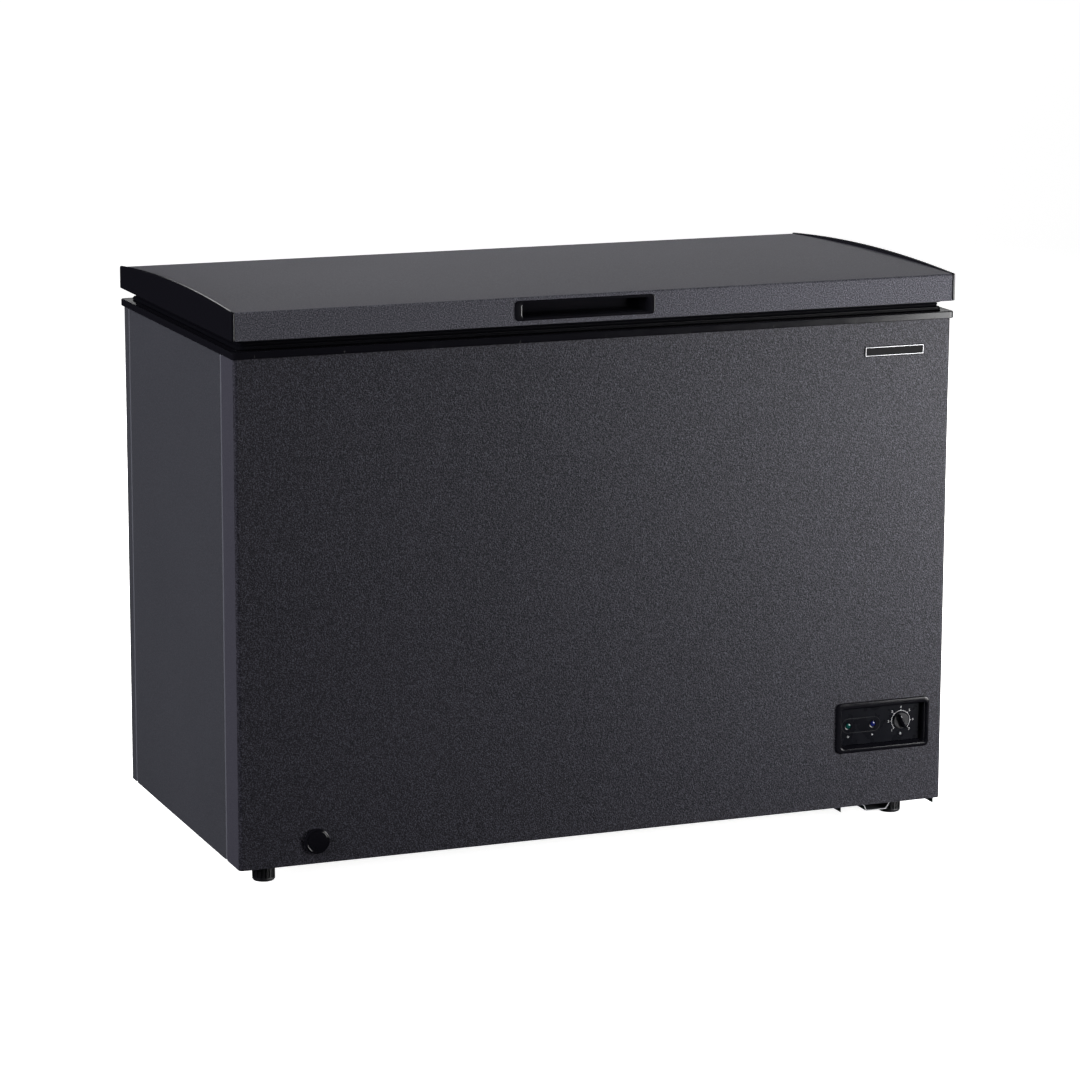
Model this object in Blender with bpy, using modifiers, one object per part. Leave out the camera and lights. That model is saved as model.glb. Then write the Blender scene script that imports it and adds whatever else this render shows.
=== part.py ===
"""Chest freezer: foamed steel cabinet, sprung lid, compressor compartment, control panel and feet.

Metres, +Z up, front towards -Y, standing on Z = 0, centred on the origin in X and Y.
"""
import math

import bmesh
import bpy
from mathutils import Matrix

# Overall sizes
WIDTH = 1.125            # lid and collar, side to side
DEPTH = 0.560            # lid and collar, front to back
FRONT_PROUD = 0.002      # drain cap ahead of the lid's front
HINGE_PROUD = 0.024      # hinges behind the lid's back
HALF = WIDTH / 2
BACK = (DEPTH + FRONT_PROUD + HINGE_PROUD) / 2 - HINGE_PROUD
FRONT = BACK - DEPTH
GAP = 0.0003             # left between pieces that touch

# Heights
BODY_LOW = 0.026         # bottom edge of the panels
COLLAR_LOW = 0.7646
COLLAR_TOP = 0.7753
PANEL_TOP = 0.7710
LID_LOW = 0.7906
LID_FRONT_TOP = 0.831
LID_BACK_TOP = 0.823

# Outer shell
INSET = 0.004            # panels behind the collar's edge
SKIN = 0.001
SHELL_X = HALF - INSET
SHELL_FRONT = FRONT + INSET
SHELL_BACK = BACK - INSET
SHELL_RADIUS = 0.0055
SEAM_FRONT = FRONT + 0.068
SEAM_BACK = FRONT + 0.529
SEAM_HALF = 0.0045
SEAM_DEPTH = 0.002
SKIN_GAP = 0.0085        # room for the condenser tube

# Inner tub
WALL = 0.065
TUB_X = HALF - WALL
TUB_FRONT = FRONT + WALL
TUB_BACK = BACK - WALL
TUB_FLOOR = 0.086
TUB_RADIUS = 0.012
TUB_GAP = 0.0083         # room for the evaporator tube
LEDGE = 0.008
LEDGE_Z = 0.746
HUMP_X = 0.335
HUMP_Z = 0.320

# Compressor compartment
ROOM_X = 0.385
ROOM_Z = 0.263
DECK = 0.0285            # top of the base plate's deck
COMPRESSOR = (0.470, 0.120)
CAN_RADIUS = 0.068

# Control panel
BEZEL_X = (0.3808, 0.5360)
BEZEL_Z = (0.110, 0.188)
WINDOW_X = (0.3935, 0.5280)
WINDOW_Z = (0.1195, 0.1757)
BEZEL_PROUD = 0.0035
RECESS = 0.012
DIAL = (0.4935, 0.1508)
DIAL_LEAN = math.radians(25)    # the grip's turn from upright
LAMP_X = (0.4053, 0.4463)
LAMP_Z = 0.1497

# Lid, hinge, feet and drain
CAP_THICK = 0.005
HANDLE_X = (-0.1405, 0.0766)
HANDLE_Z = (0.797, 0.826)
HINGE_X = 0.360
AXIS_Y = BACK + 0.012
AXIS_Z = 0.795
FOOT_TOP = 0.0268
FEET = {
    "foot_front_left": (-0.5115, FRONT + 0.040),
    "foot_front_right": (0.4965, FRONT + 0.050),
    "foot_rear_left": (-0.5115, BACK - 0.040),
    "foot_rear_right": (0.4965, BACK - 0.050),
}
DRAIN_X = -0.4423
DRAIN_Z = 0.060
DRAIN_Y = TUB_FRONT + 0.030
RISER_X = TUB_X + SKIN + 0.0041
SUCTION_Y = 0.020
CAPILLARY_Y = -0.020

BASKET_X = (0.225, 0.485)
BASKET_LOW = 0.560

PAINT = ((0.060, 0.060, 0.070), 0.45, 0.3)
BLACK = ((0.010, 0.010, 0.012), 0.25, 0.0)
RUBBER = ((0.012, 0.012, 0.013), 0.7, 0.0)
WHITE = ((0.80, 0.80, 0.80), 0.4, 0.0)
ZINC = ((0.55, 0.56, 0.57), 0.35, 1.0)
COPPER = ((0.72, 0.38, 0.22), 0.3, 1.0)
FOAM = ((0.80, 0.72, 0.45), 0.9, 0.0)
STEEL = ((0.60, 0.60, 0.62), 0.3, 1.0)
GREEN = ((0.02, 0.35, 0.15), 0.2, 0.0)
BLUE = ((0.03, 0.08, 0.45), 0.2, 0.0)
BOARD = ((0.02, 0.18, 0.06), 0.5, 0.0)


# --- helpers ---------------------------------------------------------------------------------

def clear_scene():
    for item in list(bpy.data.objects):
        bpy.data.objects.remove(item, do_unlink=True)


def collection(name):
    group = bpy.data.collections.new(name)
    bpy.context.scene.collection.children.link(group)
    return group


def material(name, look):
    colour, roughness, metallic = look
    made = bpy.data.materials.new(name)
    made.use_nodes = True
    shader = made.node_tree.nodes["Principled BSDF"]
    shader.inputs["Base Color"].default_value = (*colour, 1.0)
    shader.inputs["Roughness"].default_value = roughness
    shader.inputs["Metallic"].default_value = metallic
    return made


def place(item, group):
    for owner in list(item.users_collection):
        owner.objects.unlink(item)
    group.objects.link(item)


def finish(item, name, look):
    """Name a piece, colour it and put it with the freezer's parts."""
    item.name = name
    item.data.name = name
    item.data.materials.clear()
    item.data.materials.append(material(name, look))
    place(item, PARTS)
    return item


def use_cutter(target, tool, operation):
    modifier = target.modifiers.new(operation.lower(), "BOOLEAN")
    modifier.operation = operation
    modifier.solver = "EXACT"
    modifier.object = tool
    tool.hide_render = True
    tool.display_type = "WIRE"
    if tool.name not in CUTTERS.objects:
        place(tool, CUTTERS)


def cut(target, tool):
    use_cutter(target, tool, "DIFFERENCE")


def join(target, tool):
    use_cutter(target, tool, "UNION")


def as_mesh(item):
    """Turn a curve into a welded mesh object that stands in the same place."""
    graph = bpy.context.evaluated_depsgraph_get()
    mesh = bpy.data.meshes.new_from_object(item.evaluated_get(graph))
    work = bmesh.new()
    work.from_mesh(mesh)
    bmesh.ops.remove_doubles(work, verts=work.verts, dist=0.00001)
    work.to_mesh(mesh)
    work.free()
    solid = bpy.data.objects.new(item.name, mesh)
    solid.matrix_world = item.matrix_world.copy()
    bpy.context.scene.collection.objects.link(solid)
    bpy.data.objects.remove(item, do_unlink=True)
    return solid


def box(x, y, z, bevel=0.0):
    """A block between pairs of limits, with rounded edges if wanted."""
    bpy.ops.mesh.primitive_cube_add(size=1.0)
    item = bpy.context.object
    item.data.transform(Matrix.Diagonal((x[1] - x[0], y[1] - y[0], z[1] - z[0], 1.0)))
    item.location = ((x[0] + x[1]) / 2, (y[0] + y[1]) / 2, (z[0] + z[1]) / 2)
    if bevel:
        rounding = item.modifiers.new("bevel", "BEVEL")
        rounding.width = bevel
        rounding.segments = 2
    return item


TURNS = {"X": (math.pi / 2, 0, math.pi / 2), "Y": (math.pi / 2, 0, 0), "Z": (0, 0, 0)}


def plate(outline, axis, low, high):
    """A flat outline with thickness: (y, z) points along X, (x, z) along Y or (x, y) along Z."""
    curve = bpy.data.curves.new("outline", "CURVE")
    curve.dimensions = "2D"
    curve.fill_mode = "BOTH"
    curve.extrude = (high - low) / 2
    spline = curve.splines.new("POLY")
    spline.points.add(len(outline) - 1)
    for point, (across, along) in zip(spline.points, outline):
        point.co = (across, along, 0, 1)
    spline.use_cyclic_u = True
    item = bpy.data.objects.new("outline", curve)
    bpy.context.scene.collection.objects.link(item)
    middle = (low + high) / 2
    item.rotation_euler = TURNS[axis]
    item.location = {"X": (middle, 0, 0), "Y": (0, middle, 0), "Z": (0, 0, middle)}[axis]
    bpy.context.view_layer.update()
    return as_mesh(item)


def arc(centre, radius, start, end, steps):
    """Points on an arc, with its angles in degrees."""
    turn = [math.radians(start + (end - start) * i / steps) for i in range(steps + 1)]
    return [(centre[0] + radius * math.cos(a), centre[1] + radius * math.sin(a)) for a in turn]


def rounded(x, y, radius, steps=3):
    """A rectangle between limits with round corners."""
    left, right = x[0] + radius, x[1] - radius
    low, high = y[0] + radius, y[1] - radius
    corners = ((right, high, 0), (left, high, 90), (left, low, 180), (right, low, 270))
    return [p for cx, cy, a in corners for p in arc((cx, cy), radius, a, a + 90, steps)]


def sheet(path, thickness, axis, low, high):
    """A folded sheet: a path, thickened to its left and drawn out along an axis."""
    inner = []
    for i, (px, py) in enumerate(path):
        before = path[max(i - 1, 0)]
        after = path[min(i + 1, len(path) - 1)]
        normals = []
        for (ax, ay), (bx, by) in ((before, (px, py)), ((px, py), after)):
            length = math.hypot(bx - ax, by - ay)
            if length:
                normals.append(((ay - by) / length, (bx - ax) / length))
        nx = sum(n[0] for n in normals) / len(normals)
        ny = sum(n[1] for n in normals) / len(normals)
        reach = thickness / (nx * nx + ny * ny)
        inner.append((px + nx * reach, py + ny * reach))
    return plate(path + inner[::-1], axis, low, high)


def rod(radius, low, high, centre, axis, sides=16):
    """A cylinder along an axis; centre holds its other two coordinates, in X, Y, Z order."""
    bpy.ops.mesh.primitive_cylinder_add(vertices=sides, radius=radius, depth=high - low)
    item = bpy.context.object
    middle = (low + high) / 2
    a, b = centre
    item.location = {"X": (middle, a, b), "Y": (a, middle, b), "Z": (a, b, middle)}[axis]
    item.rotation_euler = {"X": (0, math.pi / 2, 0), "Y": (math.pi / 2, 0, 0), "Z": (0, 0, 0)}[axis]
    return item


def turned(profile, centre, steps=16):
    """A solid of revolution about a vertical axis: (radius, z) pairs from top to bottom."""
    mesh = bpy.data.meshes.new("profile")
    verts = [(r, 0, z) for r, z in profile]
    mesh.from_pydata(verts, [(i, i + 1) for i in range(len(verts) - 1)], [])
    item = bpy.data.objects.new("profile", mesh)
    bpy.context.scene.collection.objects.link(item)
    item.location = (centre[0], centre[1], 0)
    screw = item.modifiers.new("turn", "SCREW")
    screw.steps = steps
    screw.render_steps = steps
    screw.use_merge_vertices = True
    screw.merge_threshold = 0.00001
    return item


def tube(points, radius, capped=True):
    """A round wire or pipe along points."""
    curve = bpy.data.curves.new("tube", "CURVE")
    curve.dimensions = "3D"
    curve.bevel_depth = radius
    curve.bevel_resolution = 2
    curve.use_fill_caps = capped
    spline = curve.splines.new("POLY")
    spline.points.add(len(points) - 1)
    for point, place_at in zip(spline.points, points):
        point.co = (*place_at, 1)
    item = bpy.data.objects.new("tube", curve)
    bpy.context.scene.collection.objects.link(item)
    bpy.context.view_layer.update()
    return as_mesh(item)


def move_origin(item, point):
    """Put an object's origin on its joint, leaving its shape where it is."""
    bpy.context.view_layer.update()
    offset = Matrix.Translation(point)
    item.data.transform(offset.inverted() @ item.matrix_world)
    item.matrix_world = offset


# --- outer shell -----------------------------------------------------------------------------

def shell_wrap(sign, face, seam):
    """The front (sign -1) or rear (+1) panel in plan, hooked into both side seams."""
    x_fold = SHELL_X - SEAM_DEPTH
    seam_edge = seam + sign * GAP / 2
    right = [(x_fold, seam_edge), (SHELL_X, seam + sign * SEAM_HALF)]
    centre = (SHELL_X - SHELL_RADIUS, face - sign * SHELL_RADIUS)
    right += arc(centre, SHELL_RADIUS, 0, sign * 90, 3)
    return right + [(-x, y) for x, y in reversed(right)]


def front_panel():
    path = shell_wrap(-1, SHELL_FRONT, SEAM_FRONT)[::-1]
    item = sheet(path, SKIN, "Z", BODY_LOW, PANEL_TOP)
    cut(item, box((BEZEL_X[0] + 0.007, BEZEL_X[1] - 0.006),
                  (SHELL_FRONT - 0.01, SHELL_FRONT + 0.01),
                  (BEZEL_Z[0] + 0.006, BEZEL_Z[1] - 0.006)))
    cut(item, rod(0.0106, SHELL_FRONT - 0.01, SHELL_FRONT + 0.01, (DRAIN_X, DRAIN_Z), "Y", 24))
    finish(item, "front_panel", PAINT)


def rear_panel():
    path = shell_wrap(1, SHELL_BACK, SEAM_BACK)
    item = sheet(path, SKIN, "Z", BODY_LOW, PANEL_TOP)
    cut(item, box((0.400, 0.545), (SHELL_BACK - 0.01, SHELL_BACK + 0.01), (0.050, 0.250)))
    finish(item, "rear_panel", PAINT)


def side_panels():
    fold = SHELL_X - SEAM_DEPTH
    path = [
        (fold, SEAM_FRONT + GAP / 2),
        (SHELL_X, SEAM_FRONT + SEAM_HALF),
        (SHELL_X, SEAM_BACK - SEAM_HALF),
        (fold, SEAM_BACK - GAP / 2),
    ]
    right = sheet(path, SKIN, "Z", BODY_LOW, PANEL_TOP)
    cut(right, box((SHELL_X - 0.01, SHELL_X + 0.01), (0.010, 0.200), (0.070, 0.230)))
    finish(right, "right_side_panel", PAINT)
    left = sheet([(-x, y) for x, y in reversed(path)], SKIN, "Z", BODY_LOW, PANEL_TOP)
    finish(left, "left_side_panel", PAINT)


def bottom_panel():
    inner = SHELL_X - SEAM_DEPTH - SKIN - GAP
    outline = rounded((-inner, ROOM_X - GAP),
                      (SHELL_FRONT + SKIN + GAP, SHELL_BACK - SKIN - GAP), SHELL_RADIUS)
    item = plate(outline, "Z", DECK - SKIN, DECK)
    for name in ("foot_front_left", "foot_rear_left"):
        cut(item, rod(0.0046, 0.02, 0.04, FEET[name], "Z"))
    finish(item, "bottom_panel", ZINC)


def top_collar():
    item = plate(rounded((-HALF, HALF), (FRONT, BACK), 0.007), "Z", COLLAR_LOW, COLLAR_TOP)
    reach = SHELL_X + GAP
    cut(item, plate(rounded((-reach, reach), (SHELL_FRONT - GAP, SHELL_BACK + GAP),
                            SHELL_RADIUS + GAP), "Z", COLLAR_LOW - 0.01, PANEL_TOP + GAP))
    cut(item, plate(rounded((-TUB_X - LEDGE, TUB_X + LEDGE), (TUB_FRONT - LEDGE, TUB_BACK + LEDGE),
                            TUB_RADIUS + LEDGE), "Z", COLLAR_LOW - 0.01, COLLAR_TOP + 0.01))
    finish(item, "top_collar", BLACK)


def badge_plate():
    item = box((0.4168, 0.5143), (SHELL_FRONT - 0.0015, SHELL_FRONT - GAP), (0.713, 0.7285))
    finish(item, "badge_plate", BLACK)


# --- foam, tub and cooling circuit -----------------------------------------------------------

def tub_ring(grow, low, high):
    """The tub's plan, grown by a distance, as a block between two heights."""
    return plate(rounded((-TUB_X - grow, TUB_X + grow), (TUB_FRONT - grow, TUB_BACK + grow),
                         TUB_RADIUS + grow), "Z", low, high)


def hump(x, z):
    return box((x, HALF), (-DEPTH, DEPTH), (-0.1, z))


def cabinet_foam():
    x = SHELL_X - SKIN - SKIN_GAP
    y = (SHELL_FRONT + SKIN + SKIN_GAP, SHELL_BACK - SKIN - SKIN_GAP)
    item = plate(rounded((-x, x), y, 0.009), "Z", DECK + GAP, PANEL_TOP - SKIN - GAP)
    cavity = tub_ring(TUB_GAP + SKIN, TUB_FLOOR - SKIN - GAP, 0.9)
    cut(cavity, hump(HUMP_X + SKIN + GAP, HUMP_Z - SKIN - GAP))
    cut(item, cavity)
    cut(item, box((ROOM_X - GAP, HALF), (-DEPTH, DEPTH), (-0.1, ROOM_Z + GAP)))
    cut(item, rod(0.0130, -DEPTH, DRAIN_Y + 0.004, (DRAIN_X, DRAIN_Z), "Y"))
    cut(item, rod(0.0130, DRAIN_Z - 0.008, 0.2, (DRAIN_X, DRAIN_Y), "Z"))
    cut(item, rod(0.0045, 0.2, 0.4, (RISER_X, SUCTION_Y), "Z", 12))
    cut(item, rod(0.0025, 0.2, 0.4, (RISER_X, CAPILLARY_Y), "Z", 12))
    for name in ("foot_front_left", "foot_rear_left"):
        cut(item, rod(0.0055, 0.0, 0.054, FEET[name], "Z"))
    finish(item, "cabinet_foam", FOAM)


def inner_liner():
    item = tub_ring(SKIN, TUB_FLOOR - SKIN, LEDGE_Z - SKIN / 2)
    join(item, tub_ring(LEDGE + SKIN, LEDGE_Z - SKIN, PANEL_TOP - SKIN / 2))
    join(item, tub_ring(WALL / 2, PANEL_TOP - SKIN, PANEL_TOP))
    cut(item, hump(HUMP_X + SKIN, HUMP_Z - SKIN))
    space = tub_ring(0.0, TUB_FLOOR, 0.9)
    cut(space, hump(HUMP_X, HUMP_Z))
    cut(item, space)
    cut(item, tub_ring(LEDGE, LEDGE_Z, 0.9))
    cut(item, rod(0.0084, 0.07, 0.10, (DRAIN_X, DRAIN_Y), "Z", 24))
    finish(item, "inner_liner", WHITE)


def loop_corners(x, front, back, radius, z):
    """A pass of tube round the left end: right front, left corners, right back, at one height."""
    left = arc((-x + radius, front + radius), radius, 270, 180, 3)
    left += arc((-x + radius, back - radius), radius, 180, 90, 3)
    return [(px, py, z) for px, py in left]


def evaporator_coil():
    """Four passes round the tub; each pass turns back beside the risers on the right wall."""
    grow = RISER_X - TUB_X
    front, back, radius = TUB_FRONT - grow, TUB_BACK + grow, TUB_RADIUS + grow
    points = [(RISER_X, SUCTION_Y, 0.396)]
    front_turn = CAPILLARY_Y - 0.040
    for level in range(4):
        z = 0.420 + 0.090 * level
        ring = [(RISER_X, SUCTION_Y, z)]
        ring += [(x, y, z) for x, y in arc((RISER_X - radius, back - radius), radius, 0, 90, 3)]
        ring += loop_corners(RISER_X, front, back, radius, z)[::-1]
        ring += [(x, y, z) for x, y in arc((RISER_X - radius, front + radius), radius, -90, 0, 3)]
        ring += [(RISER_X, front_turn, z)]
        points += ring if level % 2 == 0 else ring[::-1]
    points[-1] = (RISER_X, CAPILLARY_Y + 0.022, points[-1][2])
    finish(tube(points, 0.003), "evaporator_coil", ZINC)


def condenser_coil():
    """Four passes on the inside of the rear, left and front panels."""
    x = SHELL_X - SKIN - 0.0055
    front, back = SHELL_FRONT + SKIN + 0.0055, SHELL_BACK - SKIN - 0.0055
    points = [(0.420, back - 0.025, 0.120), (0.420, back, 0.120)]
    for level in range(4):
        z = 0.120 + 0.110 * level
        ring = [(0.340, back, z)] + loop_corners(x, front, back, 0.012, z)[::-1]
        ring += [(0.340, front, z)]
        points += ring if level % 2 == 0 else ring[::-1]
    points += [(0.500, back, points[-1][2]), (0.500, back, 0.250), (0.530, back - 0.028, 0.240)]
    finish(tube(points, 0.0024), "condenser_coil", COPPER)


def drain_tube():
    corner = 0.014
    bend = arc((DRAIN_Y - corner, DRAIN_Z + corner), corner, 0, -90, 4)
    points = [(DRAIN_X, DRAIN_Y, TUB_FLOOR - SKIN - GAP)]
    points += [(DRAIN_X, y, z) for y, z in bend]
    points += [(DRAIN_X, SHELL_FRONT - 0.0002, DRAIN_Z)]
    item = tube(points, 0.010, capped=False)
    wall = item.modifiers.new("wall", "SOLIDIFY")
    wall.thickness = 0.0018
    wall.offset = -1.0
    wall.use_even_offset = True
    finish(item, "drain_tube", WHITE)


# --- compressor compartment ------------------------------------------------------------------

def machine_room_partition():
    path = [(ROOM_X, 0.0290), (ROOM_X, ROOM_Z), (SHELL_X - SKIN - 0.003, ROOM_Z)]
    y = (SHELL_FRONT + SKIN + SKIN_GAP, SHELL_BACK - SKIN - SKIN_GAP)
    item = sheet(path, -SKIN, "Y", *y)
    cut(item, rod(0.0045, 0.2, 0.3, (RISER_X, SUCTION_Y), "Z", 12))
    cut(item, rod(0.0025, 0.2, 0.3, (RISER_X, CAPILLARY_Y), "Z", 12))
    finish(item, "machine_room_partition", ZINC)


def base_plate():
    """Pressed sheet with down-turned sides and a hat-shaped channel from front to back."""
    path = [(0.3920, 0.018), (0.3920, DECK), (0.4300, DECK), (0.4360, 0.0172), (0.4678, 0.0172),
            (0.4752, DECK), (0.5484, DECK), (0.5484, 0.018)]
    item = sheet(path, -0.0012, "Y", SHELL_FRONT + SKIN + GAP, SHELL_BACK - SKIN - GAP)
    for name in ("foot_front_right", "foot_rear_right"):
        cut(item, rod(0.0046, 0.02, 0.04, FEET[name], "Z"))
    finish(item, "base_plate", ZINC)


def compressor():
    low = DECK + 0.0175
    r = CAN_RADIUS
    profile = [(0.0, 0.212), (0.45 * r, 0.210), (0.80 * r, 0.200), (0.97 * r, 0.182), (r, 0.160),
               (r, 0.135), (1.03 * r, 0.134), (1.03 * r, 0.131), (r, 0.130), (0.99 * r, 0.075),
               (0.85 * r, 0.058), (0.60 * r, low + 0.001), (0.0, low + 0.001)]
    item = turned(profile, COMPRESSOR, 24)
    x, y = COMPRESSOR
    join(item, box((x - 0.070, x + 0.070), (y - 0.062, y + 0.062), (low, low + 0.003)))
    finish(item, "compressor", BLACK)


def compressor_grommets():
    x, y = COMPRESSOR
    spots = [(x + dx, y + dy) for dx in (-0.058, 0.058) for dy in (-0.052, 0.052)]
    profile = [(0.0, DECK + 0.0172), (0.008, DECK + 0.0172), (0.0095, DECK + 0.013),
               (0.007, DECK + 0.009), (0.0095, DECK + 0.005), (0.0095, DECK + GAP),
               (0.0, DECK + GAP)]
    for number, spot in enumerate(spots, 1):
        finish(turned(profile, spot, 12), f"compressor_grommet_{number}", RUBBER)


def relay_cover():
    x, y = COMPRESSOR
    back = y - CAN_RADIUS * 1.03 - 0.0005
    item = box((x - 0.030, x + 0.020), (back - 0.026, back), (0.070, 0.128), 0.002)
    finish(item, "relay_cover", BLACK)


def filter_drier():
    profile = [(0.0, 0.2350), (0.003, 0.2345), (0.003, 0.228), (0.008, 0.220), (0.008, 0.165),
               (0.003, 0.156), (0.003, 0.150), (0.0, 0.150)]
    finish(turned(profile, (0.530, SHELL_BACK - 0.0345), 12), "filter_drier", COPPER)


def pipes():
    x, y = COMPRESSOR
    suction = [(x + 0.030, y - 0.0650, 0.150), (x + 0.032, y - 0.085, 0.152),
               (RISER_X, SUCTION_Y + 0.004, 0.165), (RISER_X, SUCTION_Y, 0.180),
               (RISER_X, SUCTION_Y, 0.3955)]
    finish(tube(suction, 0.003), "suction_tube", COPPER)
    discharge = [(x - 0.030, y + 0.0650, 0.100), (x - 0.045, y + 0.085, 0.100),
                 (0.420, SHELL_BACK - 0.045, 0.120), (0.420, SHELL_BACK - 0.0320, 0.120)]
    finish(tube(discharge, 0.0024), "discharge_tube", COPPER)
    capillary = [(0.530, SHELL_BACK - 0.0345, 0.1495), (0.530, SHELL_BACK - 0.0345, 0.143),
                 (0.542, SHELL_BACK - 0.045, 0.137), (0.547, 0.160, 0.135), (0.547, 0.060, 0.140),
                 (0.540, 0.000, 0.150), (RISER_X + 0.008, CAPILLARY_Y, 0.165),
                 (RISER_X, CAPILLARY_Y, 0.180), (RISER_X, CAPILLARY_Y, 0.690)]
    finish(tube(capillary, 0.0011), "capillary_tube", COPPER)


def side_vent_grille():
    """Framed louvres set into the right side panel."""
    y, z = (0.0103, 0.1997), (0.0703, 0.2297)
    item = box((SHELL_X - 0.006, SHELL_X + 0.0002), y, z)
    join(item, box((SHELL_X + GAP - 0.0002, SHELL_X + 0.0022), (y[0] - 0.006, y[1] + 0.006),
                   (z[0] - 0.006, z[1] + 0.006)))
    for row in range(9):
        low = z[0] + 0.008 + row * 0.0165
        cut(item, box((SHELL_X - 0.02, SHELL_X + 0.02), (y[0] + 0.007, y[1] - 0.007),
                      (low, low + 0.010)))
    finish(item, "side_vent_grille", BLACK)


def rear_cover():
    item = box((0.392, 0.5525), (SHELL_BACK + GAP, SHELL_BACK + 0.0013), (0.042, 0.258))
    for row in range(6):
        low = 0.120 + row * 0.020
        cut(item, box((0.412, 0.532), (SHELL_BACK - 0.01, SHELL_BACK + 0.01), (low, low + 0.008)))
    cut(item, rod(0.0082, SHELL_BACK - 0.01, SHELL_BACK + 0.01, (0.425, 0.075), "Y"))
    finish(item, "rear_cover", ZINC)
    spots = [(x, z) for x in (0.3965, 0.5485) for z in (0.0465, 0.2535)]
    for number, spot in enumerate(spots, 1):
        head = rod(0.0032, SHELL_BACK + 0.0016, SHELL_BACK + 0.0036, spot, "Y", 12)
        finish(head, f"rear_cover_screw_{number}", STEEL)


def cord_gland():
    item = rod(0.0078, SHELL_BACK - 0.006, SHELL_BACK + 0.012, (0.425, 0.075), "Y")
    join(item, rod(0.0115, SHELL_BACK + 0.0016, SHELL_BACK + 0.004, (0.425, 0.075), "Y"))
    cut(item, rod(0.0036, SHELL_BACK - 0.02, SHELL_BACK + 0.02, (0.425, 0.075), "Y"))
    finish(item, "cord_gland", RUBBER)


# --- control panel ---------------------------------------------------------------------------

def control_bezel():
    face = SHELL_FRONT - GAP
    item = plate(rounded(BEZEL_X, BEZEL_Z, 0.008), "Y", SHELL_FRONT - BEZEL_PROUD, face)
    body_x = (BEZEL_X[0] + 0.0075, BEZEL_X[1] - 0.0065)
    body_z = (BEZEL_Z[0] + 0.0065, BEZEL_Z[1] - 0.0065)
    join(item, box(body_x, (face - 0.001, SHELL_FRONT + RECESS), body_z))
    cut(item, box(WINDOW_X, (-0.4, SHELL_FRONT + RECESS + 0.01), WINDOW_Z))
    finish(item, "control_bezel", BLACK)


def control_fascia():
    face = SHELL_FRONT + RECESS - 0.004
    item = box((WINDOW_X[0] + GAP, WINDOW_X[1] - GAP), (face, face + 0.002),
               (WINDOW_Z[0] + GAP, WINDOW_Z[1] - GAP))
    cut(item, rod(0.0040, face - 0.01, face + 0.01, DIAL, "Y"))
    for x in LAMP_X:
        cut(item, rod(0.0043, face - 0.01, face + 0.01, (x, LAMP_Z), "Y"))
    finish(item, "control_fascia", BLACK)
    for x, name, look in zip(LAMP_X, ("power_lens", "run_lens"), (GREEN, BLUE)):
        finish(rod(0.0040, face - 0.0012, face + 0.004, (x, LAMP_Z), "Y"), name, look)


def thermostat():
    face = SHELL_FRONT + RECESS - 0.004
    knob = rod(0.0125, face - 0.0028, face - GAP, DIAL, "Y", 32)
    x, z = DIAL
    grip = []
    for across, along in ((-0.0035, -0.0112), (0.0035, -0.0112), (0.0035, 0.0112), (-0.0035, 0.0112)):
        grip.append((x + across * math.cos(DIAL_LEAN) - along * math.sin(DIAL_LEAN),
                     z + across * math.sin(DIAL_LEAN) + along * math.cos(DIAL_LEAN)))
    join(knob, plate(grip, "Y", face - 0.0105, face - 0.002))
    join(knob, rod(0.0030, face - 0.001, face + 0.010, DIAL, "Y"))
    finish(knob, "thermostat_knob", BLACK)
    move_origin(knob, (x, face, z))
    body = box((x - 0.022, x + 0.022), (face + 0.006, face + 0.038), (z - 0.020, z + 0.020), 0.001)
    cut(body, rod(0.0034, face, face + 0.011, DIAL, "Y"))
    finish(body, "thermostat_body", WHITE)


def indicator_board():
    face = SHELL_FRONT + RECESS + 0.001
    item = box((LAMP_X[0] - 0.010, LAMP_X[1] + 0.010), (face, face + 0.0016),
               (LAMP_Z - 0.014, LAMP_Z + 0.014))
    finish(item, "indicator_board", BOARD)


# --- feet and drain --------------------------------------------------------------------------

def feet():
    profile = [(0.0, 0.050), (0.0042, 0.050), (0.0042, FOOT_TOP), (0.0185, FOOT_TOP),
               (0.0185, 0.021), (0.0170, 0.0035), (0.0140, 0.0), (0.0, 0.0)]
    for name, spot in FEET.items():
        finish(turned(profile, spot), name, BLACK)


def drain_caps():
    back = SHELL_FRONT - 0.0005
    cap = rod(0.01875, FRONT - FRONT_PROUD, back, (DRAIN_X, DRAIN_Z), "Y", 24)
    join(cap, rod(0.0070, back - 0.001, back + 0.014, (DRAIN_X, DRAIN_Z), "Y"))
    move_origin(finish(cap, "drain_cap", BLACK), (DRAIN_X, back, DRAIN_Z))
    low = TUB_FLOOR + GAP
    profile = [(0.0, low + 0.005), (0.012, low + 0.005), (0.014, low + 0.003), (0.014, low),
               (0.0070, low), (0.0066, low - 0.010), (0.0, low - 0.010)]
    finish(turned(profile, (DRAIN_X, DRAIN_Y)), "drain_plug", WHITE)


# --- lid -------------------------------------------------------------------------------------

def crown(front_z, back_z, rise, inset, steps=12):
    """Arched top edge from front to back as (y, z) points."""
    y0, y1 = FRONT + inset, BACK - inset
    points = []
    for i in range(steps + 1):
        t = i / steps
        points.append((y0 + (y1 - y0) * t, front_z + (back_z - front_z) * t + 4 * rise * t * (1 - t)))
    return points


def lid_end_caps():
    outline = [(FRONT, LID_LOW), (FRONT, LID_FRONT_TOP - 0.002)]
    outline += crown(LID_FRONT_TOP + 0.0005, LID_BACK_TOP + 0.0015, 0.010, 0.002)
    outline += [(BACK, LID_BACK_TOP - 0.001), (BACK, LID_LOW)]
    for side, x in (("left", (-HALF, CAP_THICK - HALF)), ("right", (HALF - CAP_THICK, HALF))):
        finish(plate(outline, "X", *x), f"lid_end_cap_{side}", BLACK)


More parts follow.
